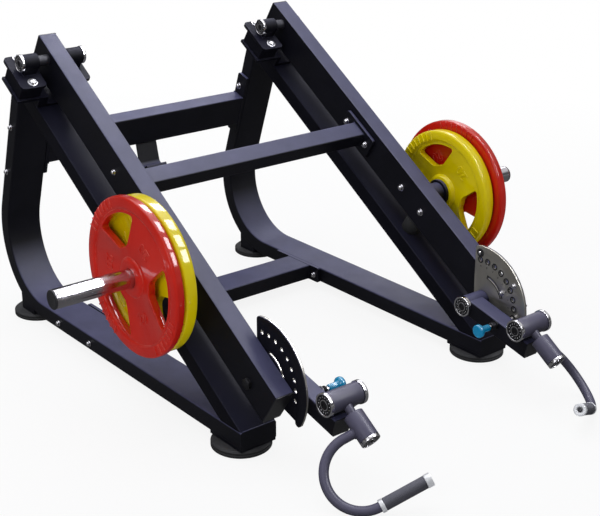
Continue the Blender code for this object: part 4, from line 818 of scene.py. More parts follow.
def bumperBlock(size):
    seat = onArm(size["along"], armShape["height"], (armShape["innerX"] + armShape["outerX"]) / 2)
    height = (railTip - seat).dot(standDown)
    # the arm's and the stand's slopes differ, so the top stays clear at its rim
    top = height - seam - math.radians(slopes["stand"] - slopes["arm"]) * size["radius"]
    r, waist = size["radius"], size["radius"] - size["drop"]
    disc = top - size["disc"]
    neck = disc - size["groove"]
    profile = [(seam, 0), (seam, r), (neck, r), (neck, waist), (disc, waist), (disc, r), (top, r), (top, 0)]
    return placed(spun(profile, 72, 0.0007, 2), seat + standDown * height, -standDown)


def buildLever():
    bolts, welds = bmesh.new(), bmesh.new()
    inner = armShape["innerX"] - leverBeam["flange"] - seam
    flange = armShape["outerX"] + armShape["hornFlange"]
    for side, sign in signs.items():
        finished(f"armTube_{side}", armTube(f"arm_{side}", armShape), "paint", "lever", "frame_paint",
                 [f"arm_{side}"], weighted=True)
        plugs = joined(armPlug(armShape, 0), armPlug(armShape, armShape["length"] - armShape["plug"] + seam))
        sided("armPlugs", side, plugs, "plastic", "lever", "black_plastic", weighted=True)
        sided("bumperBlock", side, bumperBlock(bumperShape), "rubber", "frame", "rubber", "bumper")
        for row, low, high, scale in (("beamBolts", inner, armShape["outerX"], 0.80),
                                      ("hornBolts", armShape["innerX"], flange, 0.85)):
            for along in armShape[row]:
                boltThrough(bolts, onArm(along, armShape["boltDepth"]), sign, low, high, 1.0, scale)
        low = leverBeam["depth"] + leverBeam["inset"]
        high = leverBeam["depth"] + leverBeam["height"] - leverBeam["inset"]
        weldRound(welds, armCorner + xAxis * sign * (inner - bead["sink"]), armForward, armDown,
                  (leverBeam["along"], low), (leverBeam["along"] + leverBeam["width"], high))
        # a round bead where the horn's sleeve meets its flange
        radius = hornBead["radius"]
        ripples = 2 * round(math.pi * radius / bead["pitch"])
        points = ringPoints(horn + xAxis * sign * (flange + hornBead["rise"]), xAxis, radius, ripples)
        joined(welds, ropeMesh(points, hornBead["thick"], True, bead["ripple"]))
    steelCopy("leverBeamSteel", "lever_crossbeam", "paint", "lever")
    finished("leverBolts", bolts, "chrome", "lever", "chrome")
    finished("leverWelds", welds, "paint", "lever", "frame_paint")
    print("lever built")


buildLever()


# Horns and weight plates

hornShape = {"radius": 0.025, "end": 0.7984, "cap": 0.005, "sleeve": 0.032, "stop": 0.040, "stopThick": 0.010,
             "stackX": 0.5087, "flangeHalf": 0.065, "flangeRise": 0.024, "flange": 0.010}


def hornBar(size):
    start, end = armShape["outerX"] + seam, size["end"] - size["cap"] - seam
    r = size["radius"]
    profile = [(start, 0), (start, r), (end - 0.0040, r), (end - 0.0036, r - 0.0005),
               (end - 0.0026, r - 0.0005), (end - 0.0022, r), (end - 0.0006, r), (end, r - 0.0006), (end, 0)]
    return placed(spun(profile, 96), horn, xAxis)


def hornPlug(size):
    start, end, r = size["end"] - size["cap"], size["end"], size["radius"]
    profile = [(start, 0), (start, r), (end - 0.0022, r), (end - 0.0010, r - 0.0009),
               (end - 0.0003, r - 0.0026), (end - 0.0001, r - 0.0060), (end - 0.0006, r - 0.0075),
               (end - 0.0006, 0)]
    return placed(spun(profile, 96), horn, xAxis)


def hornBase(size):
    face, end = armShape["outerX"] + seam, size["stackX"] - seam
    bore, stop = size["radius"] + seam, end - size["stopThick"]
    profile = [(face, bore), (face, size["sleeve"]), (stop, size["sleeve"]), (stop, size["stop"]),
               (end, size["stop"]), (end, bore)]
    half, rise = size["flangeHalf"], size["flangeRise"]
    low, high = (face, -half, -rise), (face + size["flange"], half, rise)
    flange = tiltedBlock(horn, armForward, armDown, low, high)
    softened(roundedAlong(flange, xAxis, 0.010, 6), 0.0008, 2, 50)
    return joined(placed(spun(profile, 72, 0.0008, 2), horn, xAxis), flange)


weightShape = {"rim": 0.033, "hub": 0.048, "web": 0.0085, "slope": 0.006, "bore": 0.0254, "faceDrop": 0.0024,
               "lap": 0.004, "holeInner": 0.080, "holeMargin": 0.0425, "outerHalf": 31.0,
               "innerHalf": 13.0, "corner": 0.013, "lips": ((1.12, 0.0), (1.06, 0.0018), (1.0, 0.0018)),
               "ribs": 7, "ribSpread": 19.0, "ribGroups": (-20, 152, 250), "rib": (0.0044, 0.025, 0.0040),
               "number": "20", "numberRadius": 0.108, "numberSize": 0.044, "numberThick": 0.0022}


def polar(radius, degrees):
    turn = math.radians(degrees)
    return Vector((0, radius * math.cos(turn), radius * math.sin(turn)))


def arcPoints(radius, start, end, steps):
    return [polar(radius, start + (end - start) * step / steps) for step in range(steps + 1)]


def holeLoop(size, radius, turn):
    # the hand hole's rounded outline, in order, about the horn
    points = arcPoints(radius - size["holeMargin"], turn - size["outerHalf"], turn + size["outerHalf"], 16)
    points += arcPoints(size["holeInner"], turn + size["innerHalf"], turn - size["innerHalf"], 4)
    bm = bmesh.new()
    bm.faces.new([bm.verts.new(point) for point in points])
    corners = [vert for vert in bm.verts if vert.calc_edge_angle(0) > math.radians(40)]
    bevelled(bm, corners, size["corner"], 5, "VERTICES")
    bm.faces.ensure_lookup_table()
    loop = [vert.co.copy() for vert in bm.faces[0].verts]
    bm.free()
    return loop


def stitched(bm, first, second):
    # quads between two loops of equal count and order
    for count in range(len(first)):
        bm.faces.new((first[count - 1], first[count], second[count], second[count - 1]))


def plateWeb(size, radius, turn, rimIn):
    # three sectors, each filled from its outline to a raised lip and stitched through its hand hole
    bm = bmesh.new()
    inside, outside, web = size["hub"] - size["lap"], rimIn + size["lap"], size["web"]
    for middle in (turn, turn + 120, turn + 240):
        sector = arcPoints(outside, middle - 60, middle + 60, 32)
        sector += arcPoints(inside, middle + 60, middle - 60, 32)
        hole = holeLoop(size, radius, middle)
        centre = sum(hole, Vector()) / len(hole)
        rings = [(sector, 0.0)]
        for share, lift in size["lips"]:
            rings.append(([centre + (point - centre) * share for point in hole], lift))
        inmost = []
        for end in (-1, 1):
            loops = [
                [bm.verts.new((end * (web + lift), point.y, point.z)) for point in points]
                for points, lift in rings
            ]
            edges = [bm.edges.new(pair) for loop in loops[:2] for pair in zip(loop, loop[1:] + loop[:1])]
            bmesh.ops.triangle_fill(bm, use_beauty=True, edges=edges, normal=(end, 0, 0))
            stitched(bm, loops[1], loops[2])
            stitched(bm, loops[2], loops[3])
            inmost.append(loops[3])
        stitched(bm, *inmost)
    bmesh.ops.remove_doubles(bm, verts=bm.verts, dist=1e-5)
    loose = [edge for edge in bm.edges if len(edge.link_faces) == 1]
    split = (inside + outside) / 2
    for outer in (True, False):
        ring = [edge for edge in loose if (edge.verts[0].co.yz.length > split) == outer]
        bmesh.ops.bridge_loops(bm, edges=ring)
    bmesh.ops.recalc_face_normals(bm, faces=bm.faces)
    return softened(bm, 0.0012, 3, 50)


def addRibs(bm, size, half, low, turn):
    # raised strokes on both faces of the rim
    for group in size["ribGroups"]:
        for step in range(size["ribs"]):
            angle = turn + group + size["ribSpread"] * (2 * step / (size["ribs"] - 1) - 1)
            for end in (-1, 1):
                rib = bmesh.new()
                bmesh.ops.create_cube(rib, size=1)
                bmesh.ops.scale(rib, vec=size["rib"], verts=rib.verts)
                softened(rib, 0.0007, 2)
                spot = Vector((end * (half - 0.0023), low + size["rib"][1] / 2, 0))
                matrix = Matrix.Rotation(math.radians(angle), 4, "X") @ Matrix.Translation(spot)
                bmesh.ops.transform(rib, matrix=matrix, verts=rib.verts)
                joined(bm, rib)


def bothFaces(section):
    return [(-height, radius) for height, radius in section] + section[::-1]


def weightPlate(size, start, thick, radius, turn):
    half, rimIn = thick / 2, radius - size["rim"]
    face, flat = half - size["faceDrop"], size["web"] - 0.0005
    bm = plateWeb(size, radius, turn, rimIn)
    # the rim and the hub, each from its section's half, which repeats on the other face
    rim = [(flat, rimIn - 0.0020), (face, rimIn + size["slope"]), (face, radius - 0.0060),
           (face - 0.0012, radius - 0.0030), (face - 0.0045, radius)]
    boss = [(half, size["bore"]), (half, size["hub"] - 0.004), (half - 0.0015, size["hub"]),
            (flat, size["hub"] + size["slope"])]
    joined(bm, placed(spun(bothFaces(rim), 128, 0.0022, 3, 25), Vector(), xAxis))
    joined(bm, placed(spun(bothFaces(boss), 96, 0.0012, 3, 25), Vector(), xAxis))
    addRibs(bm, size, half, rimIn + 0.004, turn)
    return placed(bm, horn + xAxis * (start + half))


def plateNumbers(bm, size, sign, middle, turn):
    # the weight in raised figures on each spoke, read from the rim
    for count in range(3):
        inward = -polar(1, turn + 60 + 120 * count)
        for end in (-1, 1):
            number = numberMesh(size["number"], size["numberSize"], size["numberThick"], 0.0004)
            place = horn - inward * size["numberRadius"] + xAxis * (sign * middle + end * size["web"])
            joined(bm, numberSet(number, place, inward, xAxis * end))


plateStack = {
    "yellow": {"start": 0.5087, "thick": 0.0400, "radius": {"left": 0.205, "right": 0.187},
               "turn": {"left": 98, "right": 75}},
    "red": {"start": 0.5490, "thick": 0.0304, "radius": {"left": 0.210, "right": 0.210},
            "turn": {"left": 66, "right": 115}},
}


def buildWeights():
    for side, sign in signs.items():
        sided("hornBar", side, hornBar(hornShape), "turned", "lever", "chrome", "horn")
        sided("hornPlug", side, hornPlug(hornShape), "plastic", "lever", "black_plastic", "horn_cap")
        bm = hornBase(hornShape)
        sided("hornBase", side, bm, "paint", "lever", "frame_paint", "horn_base", weighted=True)
        for colour, stack in plateStack.items():
            start, thick, turn = stack["start"], stack["thick"], stack["turn"][side]
            bm = mirroredSide(weightPlate(weightShape, start, thick, stack["radius"][side], turn), side)
            plateNumbers(bm, weightShape, sign, start + thick / 2, turn)
            finished(f"{colour}Weight_{side}", bm, colour, f"{colour}_weight_{side}", f"{colour}_coating",
                     [f"plate_{colour}_{side}"], sharp=50)
    print("weights built")


buildWeights()


# Index plates with their scale, hub axles, pins and knobs

indexShape = {"outerX": 0.3903, "thick": 0.008, "backing": 0.0026, "pinCircle": 0.1175, "holes": 9,
              "spacing": 13.25, "lowest": -9.0, "holeRadius": 0.0066, "numberRadius": 0.0985,
              "numberSize": 0.0090, "numberThick": 0.0002, "pad": 0.0125, "slot": (20, 79),
              "slotRadius": 0.074, "slotHalf": 0.0045, "slotBead": 0.0013,
              "bolts": ((0.083, 31, 0.75), (0.138, 34, 0.75), (0.138, 96.5, 0.65))}
indexFace = indexShape["outerX"] - indexShape["thick"]


def hubPoint(radius, degrees, x=0.0):
    turn = math.radians(degrees)
    return hub + Vector((x, -radius * math.cos(turn), radius * math.sin(turn)))


def indexLayer(node, sign, size, low, high):
    # the CAD plate squeezed between two distances from its outer face
    bm = nodeCopy(node)
    for vert in bm.verts:
        share = (size["outerX"] - abs(vert.co.x)) / size["thick"]
        vert.co.x = sign * (size["outerX"] - (low + (high - low) * share))
    return softened(bm, 0.0002, 2, 50)


def indexNumbers(sign, size):
    # numbers on the inner face, which looks towards the middle of the machine
    bm = bmesh.new()
    for count in range(size["holes"]):
        angle = size["lowest"] + count * size["spacing"]
        number = numberMesh(str(count + 1), size["numberSize"], size["numberThick"])
        place = hubPoint(size["numberRadius"], angle, sign * (indexFace - size["numberThick"] / 2))
        joined(bm, numberSet(number, place, (hubPoint(1, angle) - hub).normalized(), -xAxis * sign))
    return bm


linkShape = {"innerX": 0.3115, "outerX": 0.3635, "half": 0.02375, "reach": 0.2367, "tail": 0.012,
             "hub": 0.0275, "hubCap": 0.0285, "hubCapThick": 0.0133, "axle": 0.015, "hubEnd": 0.3819,
             "plug": 0.0025, "corner": 0.004, "eye": 0.0205, "eyeWide": 0.016, "sleeve": 0.0275,
             "sleeveLong": 0.095, "shaft": 0.0125, "cap": 0.030, "capThick": 0.0097, "cradleWide": 0.094,
             "cradleThick": 0.018, "shoulder": 0.35, "neckHalf": 0.008, "neckFrom": 0.0165}
pinShape = {"barrel": 0.0105, "base": 0.013, "baseThick": 0.004, "long": 0.0165, "threads": 9, "pin": 0.006,
            "tip": 0.3815, "knobEnd": 0.2858, "knobLong": 0.047, "socket": 0.0237, "head": 0.016,
            "knob": 0.0185, "neck": 0.0095, "angle": -9.0}
nutShape = {"radius": 0.0158, "height": 0.0072, "middle": 0.0042, "washer": 0.0155, "washerThick": 0.0012}


def axleNut(size, nut):
    start = armShape["outerX"] + seam
    place = hub + xAxis * start
    bm = placed(hexagon(nut["radius"], nut["height"], 0.0010), place + xAxis * nut["middle"], xAxis)
    addSpun(bm, place, xAxis, hollow(0, nut["washerThick"], 0, nut["washer"]), 48, 0.0003, 2)
    crown = [(0.0070, 0), (0.0070, 0.0108), (0.0082, 0.0098), (0.0089, 0.0060), (0.0090, 0)]
    addSpun(bm, place, xAxis, crown, 40)
    low, high = size["innerX"] - seam, start + 0.001
    return addSpun(bm, hub + xAxis * low, xAxis, hollow(0, high - low, 0, size["axle"]), 48)


def knobTurning(size):
    end, r, neck, bore = size["knobEnd"], size["knob"], size["neck"], size["pin"] + seam
    head, socket = end - size["knobLong"], end - size["socket"]
    waist = head + size["head"]
    profile = [(head, 0), (head + 0.0002, r * 0.55), (head + 0.0010, r * 0.80), (head + 0.0028, r * 0.95),
               (head + 0.0055, r), (waist - 0.0045, r), (waist - 0.0020, r * 0.93),
               (waist + 0.0010, r * 0.72), (waist + 0.0040, neck + 0.0010), (waist + 0.0090, neck),
               (end - 0.0022, neck), (end, neck - 0.0012), (end, bore), (socket, bore), (socket, 0)]
    return spun(profile, 64)


def lockPin(size):
    root, tip, r = size["knobEnd"] - size["socket"] + seam, size["tip"], size["pin"]
    profile = [(root, 0), (root, r), (tip - 0.002, r), (tip - 0.0005, r - 0.0014), (tip, r - 0.002), (tip, 0)]
    return spun(profile, 48)


def pinBarrel(size):
    face = linkShape["innerX"] - seam
    collar, end = face - size["baseThick"], face - size["long"]
    r, root, bore = size["barrel"], size["barrel"] - 0.0008, size["pin"] + turnGap
    profile = [(face, bore), (face, size["base"]), (collar, size["base"]), (collar, root)]
    step = (size["long"] - size["baseThick"] - 0.002) / size["threads"]
    for count in range(size["threads"]):
        at = collar - 0.0006 - count * step
        profile += [(at, root), (at - step * 0.5, r)]
    profile += [(end + 0.0005, root), (end, r - 0.0012), (end, bore)]
    return spun(profile, 48)


def holeShadeLinings(size):
    # the pin holes' dark walls and rings, painted shade where the holes look dark; a dark bead round the
    # slot, painted shade at its edge, and a dark pad under a bolt
    bm = bmesh.new()
    r, under, over = size["holeRadius"], indexFace - 0.0003, indexFace + 0.0002
    back = size["outerX"] - skin
    for count in range(size["holes"]):
        place = hubPoint(size["pinCircle"], size["lowest"] + count * size["spacing"])
        profile = [(under, r - 0.0003), (under, r + 0.0034), (over, r + 0.0034), (over, r), (back, r),
                   (back, r - 0.0003)]
        addSpun(bm, place, xAxis, profile, 24)
    low, high = size["slot"]
    rounds = [(size["slotRadius"] + size["slotHalf"], turn) for turn in range(low, high + 1)]
    rounds += [(size["slotRadius"] - size["slotHalf"], turn) for turn in range(high, low - 1, -1)]
    rounds = [hubPoint(radius, turn, indexFace) for radius, turn in rounds]
    joined(bm, ropeMesh(rounds, size["slotBead"], True))
    radius, turn = size["bolts"][2][:2]
    pad = hollow(indexFace - 0.0014, over, 0, size["pad"])
    return addSpun(bm, hubPoint(radius, turn), xAxis, pad, 40, 0.0003, 2)


def buildIndex():
    size = indexShape
    bolts = bmesh.new()
    place = hubPoint(size["pinCircle"], pinShape["angle"])
    for side, sign in signs.items():
        node, pin, link = f"index_plate_{side}", f"pull_pin_{side}", f"link_assembly_{side}"
        bm = indexLayer(node, sign, size, size["backing"], size["thick"])
        finished(f"indexPlate_{side}", bm, "steel", "lever", "frame_paint", [node])
        bm = indexLayer(node, sign, size, 0, size["backing"] - 0.0001)
        finished(f"indexBacking_{side}", bm, "paint", "lever", "frame_paint")
        finished(f"indexNumbers_{side}", indexNumbers(sign, size), "ink", "lever", "black_plastic")
        if side == "right":
            finished(f"holeShadeLinings_{side}", holeShadeLinings(size), "ink", "lever", "black_plastic")
        for radius, angle, scale in size["bolts"]:
            addBolt(bolts, hubPoint(radius, angle, sign * indexFace), -xAxis * sign, scale)
        sided("hubAxle", side, axleNut(linkShape, nutShape), "dark", "lever", "chrome", "hub_axle")
        bright, dark = bmesh.new(), bmesh.new()
        addRingCap(bright, dark, hub + xAxis * (linkShape["innerX"] - seam), -xAxis, linkShape["hubCap"],
                   linkShape["hubCapThick"])
        sided("hubCapRing", side, bright, "chrome", "lever", "chrome")
        sided("hubCapSeal", side, dark, "dark", "lever", "chrome")
        for name, bm, material, body, slot, node in (
            ("pullKnob", knobTurning(pinShape), "knob", pin, "knob_plastic", "pin_knob"),
            ("lockPin", lockPin(pinShape), "chrome", pin, "chrome", "pop_pin"),
            ("pinBarrel", pinBarrel(pinShape), "dark", link, "chrome", "pin_barrel"),
        ):
            sided(name, side, placed(bm, place, xAxis), material, body, slot, node)
    finished("indexBolts", bolts, "chrome", "lever", "chrome")
    print("index plates built")


buildIndex()


# Links with their cradles, and the knuckles

# how far below the knuckle's middle the link's top lies
linkTop = (hub - flatKnuckle).dot(linkDown) - linkShape["half"]


def linkTube(size):
    low, high, half = size["innerX"], size["outerX"], size["half"]
    bm = tiltedBlock(hub, linkForward, linkDown, (low, -size["tail"], -half),
                     (high, size["reach"] - size["plug"], half))
    softened(roundedAlong(bm, linkForward, size["corner"], 5), 0.0008, 2, 50)
    eye = hollow(low - 0.0001, size["hubEnd"], size["axle"] + turnGap, size["hub"])
    addSpun(bm, hub, xAxis, eye, 72, 0.0010)
    # the cradle flares from the link up to the knuckle's shaft
    rise, root, flare = size["sleeve"] + 0.001, linkTop + 0.006, size["cradleWide"] / 2
    shoulder = rise + (linkTop - rise) * size["shoulder"]
    section = [(knuckle.x - flare, rise), (knuckle.x + flare, rise), (knuckle.x + flare, shoulder),
               (high - 0.004, root), (low + 0.004, root), (knuckle.x - flare, shoulder)]
    start = flatKnuckle - linkForward * (size["cradleThick"] / 2)
    outline = [start + xAxis * x + linkDown * depth for x, depth in section]
    joined(bm, slab(outline, linkForward * size["cradleThick"], 0.0012))
    low, high = knuckle.x - size["eyeWide"] / 2, knuckle.x + size["eyeWide"] / 2
    addSpun(bm, flatKnuckle, xAxis, hollow(low, high, size["shaft"] + seam, size["eye"]), 64, 0.0006, 2)
    low, high = (low, -size["neckHalf"], size["neckFrom"]), (high, size["neckHalf"], rise + 0.002)
    return joined(bm, tiltedBlock(flatKnuckle, linkForward, linkDown, low, high, 0.0006))


def linkPlug(size):
    low = (size["innerX"] + skin, size["reach"] - size["plug"] + skin, skin - size["half"])
    high = (size["outerX"] - skin, size["reach"], size["half"] - skin)
    return endPlug(tiltedBlock(hub, linkForward, linkDown, low, high), linkForward)


knuckleShape = {"chamber": 0.009, "room": 0.0219, "bore": 0.0129, "windowStart": -118.24, "windowEnd": 0.84}


def knuckleSleeve(size):
    # two turned ends with a chamber between them, whose wall leaves the window open
    half, r = linkShape["sleeveLong"] / 2, linkShape["sleeve"]
    bm = bmesh.new()
    for end in (-1, 1):
        profile = [(size["chamber"], size["bore"]), (size["chamber"], r), (half - 0.0016, r),
                   (half - 0.0007, r - 0.0003), (half - 0.0001, r - 0.0012), (half, r - 0.0020),
                   (half, size["bore"])]
        addSpun(bm, knuckle, xAxis, [(end * along, radius) for along, radius in profile], 96)
    start = math.radians(size["windowEnd"])
    sweep = math.tau - start + math.radians(size["windowStart"])
    reach = size["chamber"] + 0.0005
    radial = Vector((0, math.cos(start), math.sin(start)))
    wall = bmesh.new()
    outline = rectangle(knuckle, xAxis, radial, (-reach, size["room"]), (reach, r))
    face = wall.faces.new([wall.verts.new(point) for point in outline])
    swept(wall, face, knuckle, xAxis, sweep, 64)
    insideFacesGone(wall)
    return joined(bm, wall)


def buildLinks():
    size = linkShape
    for side in signs:
        body = f"link_assembly_{side}"
        sided("linkTube", side, linkTube(size), "paint", body, "frame_paint", "link", weighted=True)
        sided("linkPlug", side, linkPlug(size), "plastic", body, "black_plastic", weighted=True)
        welds, bright, dark, shaft = (bmesh.new() for _ in range(4))
        half = size["cradleThick"] / 2
        low, high = (size["innerX"] + 0.002, -half), (size["outerX"] - 0.002, half)
        foot = flatKnuckle + linkDown * (linkTop - bead["sink"])
        weldRound(welds, foot, xAxis, linkForward, low, high, bead["fine"])
        half = size["sleeveLong"] / 2 + 0.0004
        for end in (-1, 1):
            place = knuckle + xAxis * (end * half)
            addRingCap(bright, dark, place, xAxis * end, size["cap"], size["capThick"])
        addSpun(shaft, knuckle, xAxis, hollow(-half, half, 0, size["shaft"]), 48)
        sided("cradleWelds", side, welds, "paint", body, "frame_paint")
        sided("knuckleShaft", side, shaft, "dark", body, "chrome", "knuckle_shaft")
        sided("knuckleCapRings", side, bright, "chrome", body, "chrome")
        sided("knuckleCapSeals", side, dark, "dark", body, "chrome")
        bm = knuckleSleeve(knuckleShape)
        sided("knuckleSleeve", side, bm, "paintLit", f"knuckle_{side}", "frame_paint", "knuckle_sleeve")
    print("links built")


buildLinks()


# Kingpins and handles

handleShape = {"top": 0.0485, "bottom": 0.1266, "sleeve": 0.0255, "pin": 0.010, "pinRoot": 0.024,
               "capThick": 0.008, "tube": 0.0122, "stub": 0.050, "bend": 0.0886, "root": 0.0175, "turn": 33.4,
               "rake": 4.8, "tilt": 5.3, "grip": 0.0157, "gripLong": 0.134, "grooves": 40, "endCap": 0.0155,
               "collar": 0.0105, "ring": 0.0165, "neckStart": 0.0225, "neck": 0.0112,
               "beadRipples": 28}


def hookDirections(size):
    under = Vector((0, -swivelAxis.z, swivelAxis.y))
    turn, rake, tilt = (math.radians(size[name]) for name in ("turn", "rake", "tilt"))
    out = xAxis * math.cos(turn) + under * math.sin(turn)
    across = -xAxis * math.sin(turn) + under * math.cos(turn)
    outward = out * math.cos(rake) - swivelAxis * math.sin(rake)
    level = swivelAxis * math.cos(rake) + out * math.sin(rake)
    return outward, level * math.cos(tilt) + across * math.sin(tilt)


def hookTube(size, outward, down):
    # a straight stub, a half-round bend and the straight run inside the grip
    bm = bmesh.new()
    start = swivelRoot + outward * size["root"]
    turn = Matrix.Translation(start) @ outward.to_track_quat("Z", "Y").to_matrix().to_4x4()
    bmesh.ops.create_circle(bm, cap_ends=True, segments=32, radius=size["tube"], matrix=turn)
    bm.faces.ensure_lookup_table()
    end = pulled(bm, bm.faces[0], outward * (size["stub"] - size["root"]))
    centre = swivelRoot + outward * size["stub"] + down * size["bend"]
    end = swept(bm, end, centre, outward.cross(down).normalized(), math.pi, 48)
    pulled(bm, end, -outward * (size["gripLong"] - size["endCap"] - seam))
    insideFacesGone(bm)
    return bm


def hookBead(size, outward):
    # the joint line of the hook's tube on the swivel sleeve
    first = (swivelAxis - outward * swivelAxis.dot(outward)).normalized()
    second = outward.cross(first).normalized()
    radius, points = size["tube"] + bead["sink"], []
    for step in range(size["beadRipples"]):
        turn = math.tau * step / size["beadRipples"]
        a, b = radius * math.cos(turn), radius * math.sin(turn)
        points.append(swivelRoot + first * a + second * b + outward * math.sqrt(size["sleeve"] ** 2 - b * b))
    return ropeMesh(points, bead["radius"], True, bead["ripple"])


def gripRubber(size):
    low, high = size["collar"] + seam, size["gripLong"] - size["endCap"] - seam
    bore, r, cut = size["tube"] + turnGap, size["grip"], size["grip"] - 0.00035
    profile = [(low, bore), (low, r - 0.0012), (low + 0.0012, r)]
    step = (high - low - 0.006) / size["grooves"]
    for index in range(size["grooves"]):
        at = low + 0.003 + index * step
        profile += [(at, r), (at + step * 0.35, r), (at + step * 0.5, cut), (at + step * 0.85, cut)]
    profile += [(high - 0.003, r), (high - 0.0012, r), (high, r - 0.0012), (high, bore)]
    return spun(profile, 48)


def gripEnds(size):
    # the collar, the end cap with its recess, and the screw in it
    end, r = size["gripLong"], size["ring"]
    cap = end - size["endCap"]
    plug = [(cap, 0), (cap, r), (end, r), (end, r * 0.50), (end - 0.003, r * 0.46), (end - 0.003, 0)]
    screw = [(end - 0.0032, 0), (end - 0.0032, r * 0.40), (end - 0.0014, r * 0.36), (end - 0.0010, r * 0.24),
             (end - 0.0010, r * 0.14), (end - 0.0022, r * 0.12), (end - 0.0022, 0)]
    collar = hollow(0, size["collar"], size["tube"] + turnGap, r)
    return spun(collar, 64, 0.0010), spun(plug, 64, 0.0010, 3, 40), spun(screw, 40)


def buildHandles():
    size = handleShape
    outward, down = hookDirections(size)
    face = size["bottom"] - size["capThick"]
    gripStart = swivelRoot + outward * size["stub"] + down * (2 * size["bend"])
    for side in signs:
        pin, body = f"knuckle_{side}", f"handle_assembly_{side}"
        bright, dark = bmesh.new(), bmesh.new()
        addSpun(dark, knuckle, swivelAxis, hollow(size["pinRoot"], face, 0, size["pin"]), 48)
        addRingCap(bright, dark, knuckle + swivelAxis * face, swivelAxis, size["sleeve"], size["capThick"])
        sided("kingpinRing", side, bright, "chrome", pin, "chrome")
        sided("kingpinCore", side, dark, "dark", pin, "chrome", "kingpin")
        low, high, r = size["neckStart"], size["top"] - turnGap, size["neck"]
        neck = spun([(low, 0), (low, r + 0.0016), (low + 0.0080, r), (high, r), (high, 0)], 64, 0.0004, 2)
        sided("kingpinNeck", side, placed(neck, knuckle, swivelAxis), "paintLit", pin, "frame_paint")
        sleeve = spun(hollow(size["top"], face - 0.0004, size["pin"] + turnGap, size["sleeve"]), 96, 0.0012)
        bm = joined(placed(sleeve, knuckle, swivelAxis), hookTube(size, outward, down))
        joined(bm, hookBead(size, outward))
        sided("hookHandle", side, bm, "paintLit", body, "frame_paint", "handle")
        collar, plug, screw = gripEnds(size)
        for name, bm, material, slot, node in (
            ("gripRubber", gripRubber(size), "grip", "rubber", "grip"),
            ("gripCollar", collar, "white", "aluminium", "grip_collar"),
            ("gripPlug", plug, "white", "aluminium", "grip_cap"),
            ("gripScrew", screw, "dark", "chrome", None),
        ):
            sided(name, side, placed(bm, gripStart, -outward), material, body, slot, node)
    print("handles built")


buildHandles()


# Floor, light and background

studio = {"ambient": 0.40, "ambientColour": (0.95, 0.96, 1.0), "floorSize": 60, "floorDrop": 0.0005,
          "floorNear": 0.88, "floorGloss": 0.12, "floorDark": 0.89, "floorPale": 0.91, "nearReach": 1.4,
          "farReach": 3.4, "room": ((0.46, 0.05), (0.53, 0.30), (0.60, 0.07), (0.71, 0.10), (0.79, 0.62),
                                    (0.85, 0.80), (0.89, 0.38), (0.94, 0.80))}


def rayKinds(tree):
    # camera rays, and the glossy and transmission rays that also see the backdrop
    path = addNode(tree, "LightPath").outputs
    mirror = calculated(tree, "MAXIMUM", path["Is Glossy Ray"], path["Is Transmission Ray"])
    return path["Is Camera Ray"], mirror


def splitShading(tree, share, first, second, end):
    # one shading for most rays, and another for a share of them
    mix = addNode(tree, "MixShader")
    for slot, value in enumerate((share, first.outputs[0], second.outputs[0])):
        feed(tree, mix.inputs[slot], value)
    feed(tree, tree.nodes[end].inputs["Surface"], mix.outputs[0])


def addWorld(settings):
    world = bpy.data.worlds.new("studio")
    scene.world = world
    world.use_nodes = True
    tree = world.node_tree
    ambient = tree.nodes["Background"]
    feed(tree, ambient.inputs["Color"], settings["ambientColour"])
    feed(tree, ambient.inputs["Strength"], settings["ambient"])
    camera, mirror = rayKinds(tree)
    # in reflections the room has dark walls, a pale horizon and a bright ceiling
    height = addNode(tree, "SeparateXYZ", Vector=placeOnPiece(tree, "Generated")).outputs["Z"]
    room = addNode(tree, "ValToRGB", Fac=mapped(tree, height, -1, 1))
    stops = room.color_ramp.elements
    while len(stops) < len(settings["room"]):
        stops.new(0.5)
    for stop, (place, level) in zip(stops, settings["room"]):
        stop.position = place
        stop.color = (level, level, level, 1)
    shown = calculated(tree, "MAXIMUM", room.outputs["Color"], camera)
    seen = addNode(tree, "Background", Color=mixed(tree, shown, (0, 0, 0), (1, 1, 1)))
    splitShading(tree, calculated(tree, "MAXIMUM", camera, mirror), ambient, seen, "World Output")


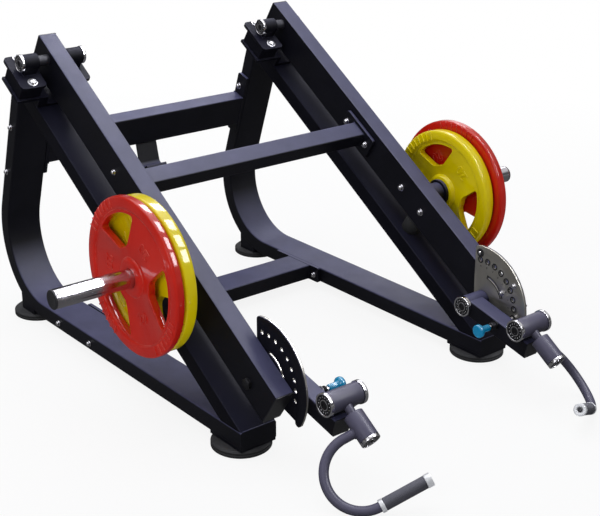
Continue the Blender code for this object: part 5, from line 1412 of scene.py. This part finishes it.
def addFloor(settings):
    bm = bmesh.new()
    bmesh.ops.create_grid(bm, x_segments=1, y_segments=1, size=settings["floorSize"] / 2)
    bmesh.ops.translate(bm, vec=zAxis * -settings["floorDrop"], verts=bm.verts)
    mesh = bpy.data.meshes.new("studioFloor")
    bm.to_mesh(mesh)
    bm.free()
    floor = bpy.data.objects.new("studioFloor", mesh)
    scene.collection.objects.link(floor)
    material, tree, shader = newMaterial("floorPaper", Roughness=0.9, Specular_IOR_Level=0.0)
    dark, pale = (settings["floorDark"],) * 3, (settings["floorPale"],) * 3
    clouds = mapped(tree, noiseAt(tree, scale=3), 0, 1)
    feed(tree, shader.inputs["Base Color"], mixed(tree, clouds, dark, pale))
    camera, mirror = rayKinds(tree)
    # the paper turns wholly white away from the machine, and keeps its shadow near it
    distance = addNode(tree, "VectorMath", operation="LENGTH", Vector=placeOnPiece(tree)).outputs["Value"]
    white = mapped(tree, distance, settings["nearReach"], settings["farReach"], settings["floorNear"])
    glow = addNode(tree, "Emission", Color=mixed(tree, mirror, (1, 1, 1), (settings["floorGloss"],) * 3))
    share = calculated(tree, "MAXIMUM", calculated(tree, "MULTIPLY", camera, white), mirror)
    splitShading(tree, share, shader, glow, "Material Output")
    mesh.materials.append(material)


lampColour = (0.94, 0.95, 1.0)
lamps = {
    "overhead": {"place": (-0.3, 0.6, 3.6), "aim": (0, 0, 0.3), "size": (4.2, 4.2), "power": 85},
    "leftFront": {"place": (-3.6, -1.8, 1.9), "aim": (0, 0, 0.4), "size": (1.6, 1.6), "power": 22},
    "rightRear": {"place": (3.2, 2.6, 2.2), "aim": (0, 0, 0.4), "size": (2.2, 2.2), "power": 30},
}
# soft boxes that the glossy rims mirror, by the direction of the mirrored ray
panels = {"from": (-0.54, -0.10, 0.55), "reach": 3.4, "size": (0.75, 0.95), "power": 48,
          "rays": ((0.50, 0.44, 0.74), (0.50, -0.11, 0.86), (0.50, -0.49, 0.71), (0.50, -0.73, 0.46))}


def addLamp(name, matrix, size, power):
    light = bpy.data.lights.new(name, "AREA")
    light.shape = "RECTANGLE"
    light.size, light.size_y = size
    light.energy = power
    light.color = lampColour
    lamp = bpy.data.objects.new(name, light)
    scene.collection.objects.link(lamp)
    lamp.matrix_world = matrix
    return lamp


def addLamps():
    for name, lamp in lamps.items():
        place = Vector(lamp["place"])
        turn = (Vector(lamp["aim"]) - place).to_track_quat("-Z", "Y").to_matrix().to_4x4()
        addLamp(name, Matrix.Translation(place) @ turn, lamp["size"], lamp["power"])
    for count, ray in enumerate(panels["rays"]):
        ray = Vector(ray).normalized()
        across = (xAxis - ray * ray.x).normalized()
        matrix = facing(Vector(panels["from"]) + ray * panels["reach"], across, ray.cross(across), ray)
        panel = addLamp(f"softBox{count}", matrix, panels["size"], panels["power"])
        panel.visible_diffuse = False


addWorld(studio)
addFloor(studio)
addLamps()
scene.view_settings.view_transform = "Standard"
print("studio set")
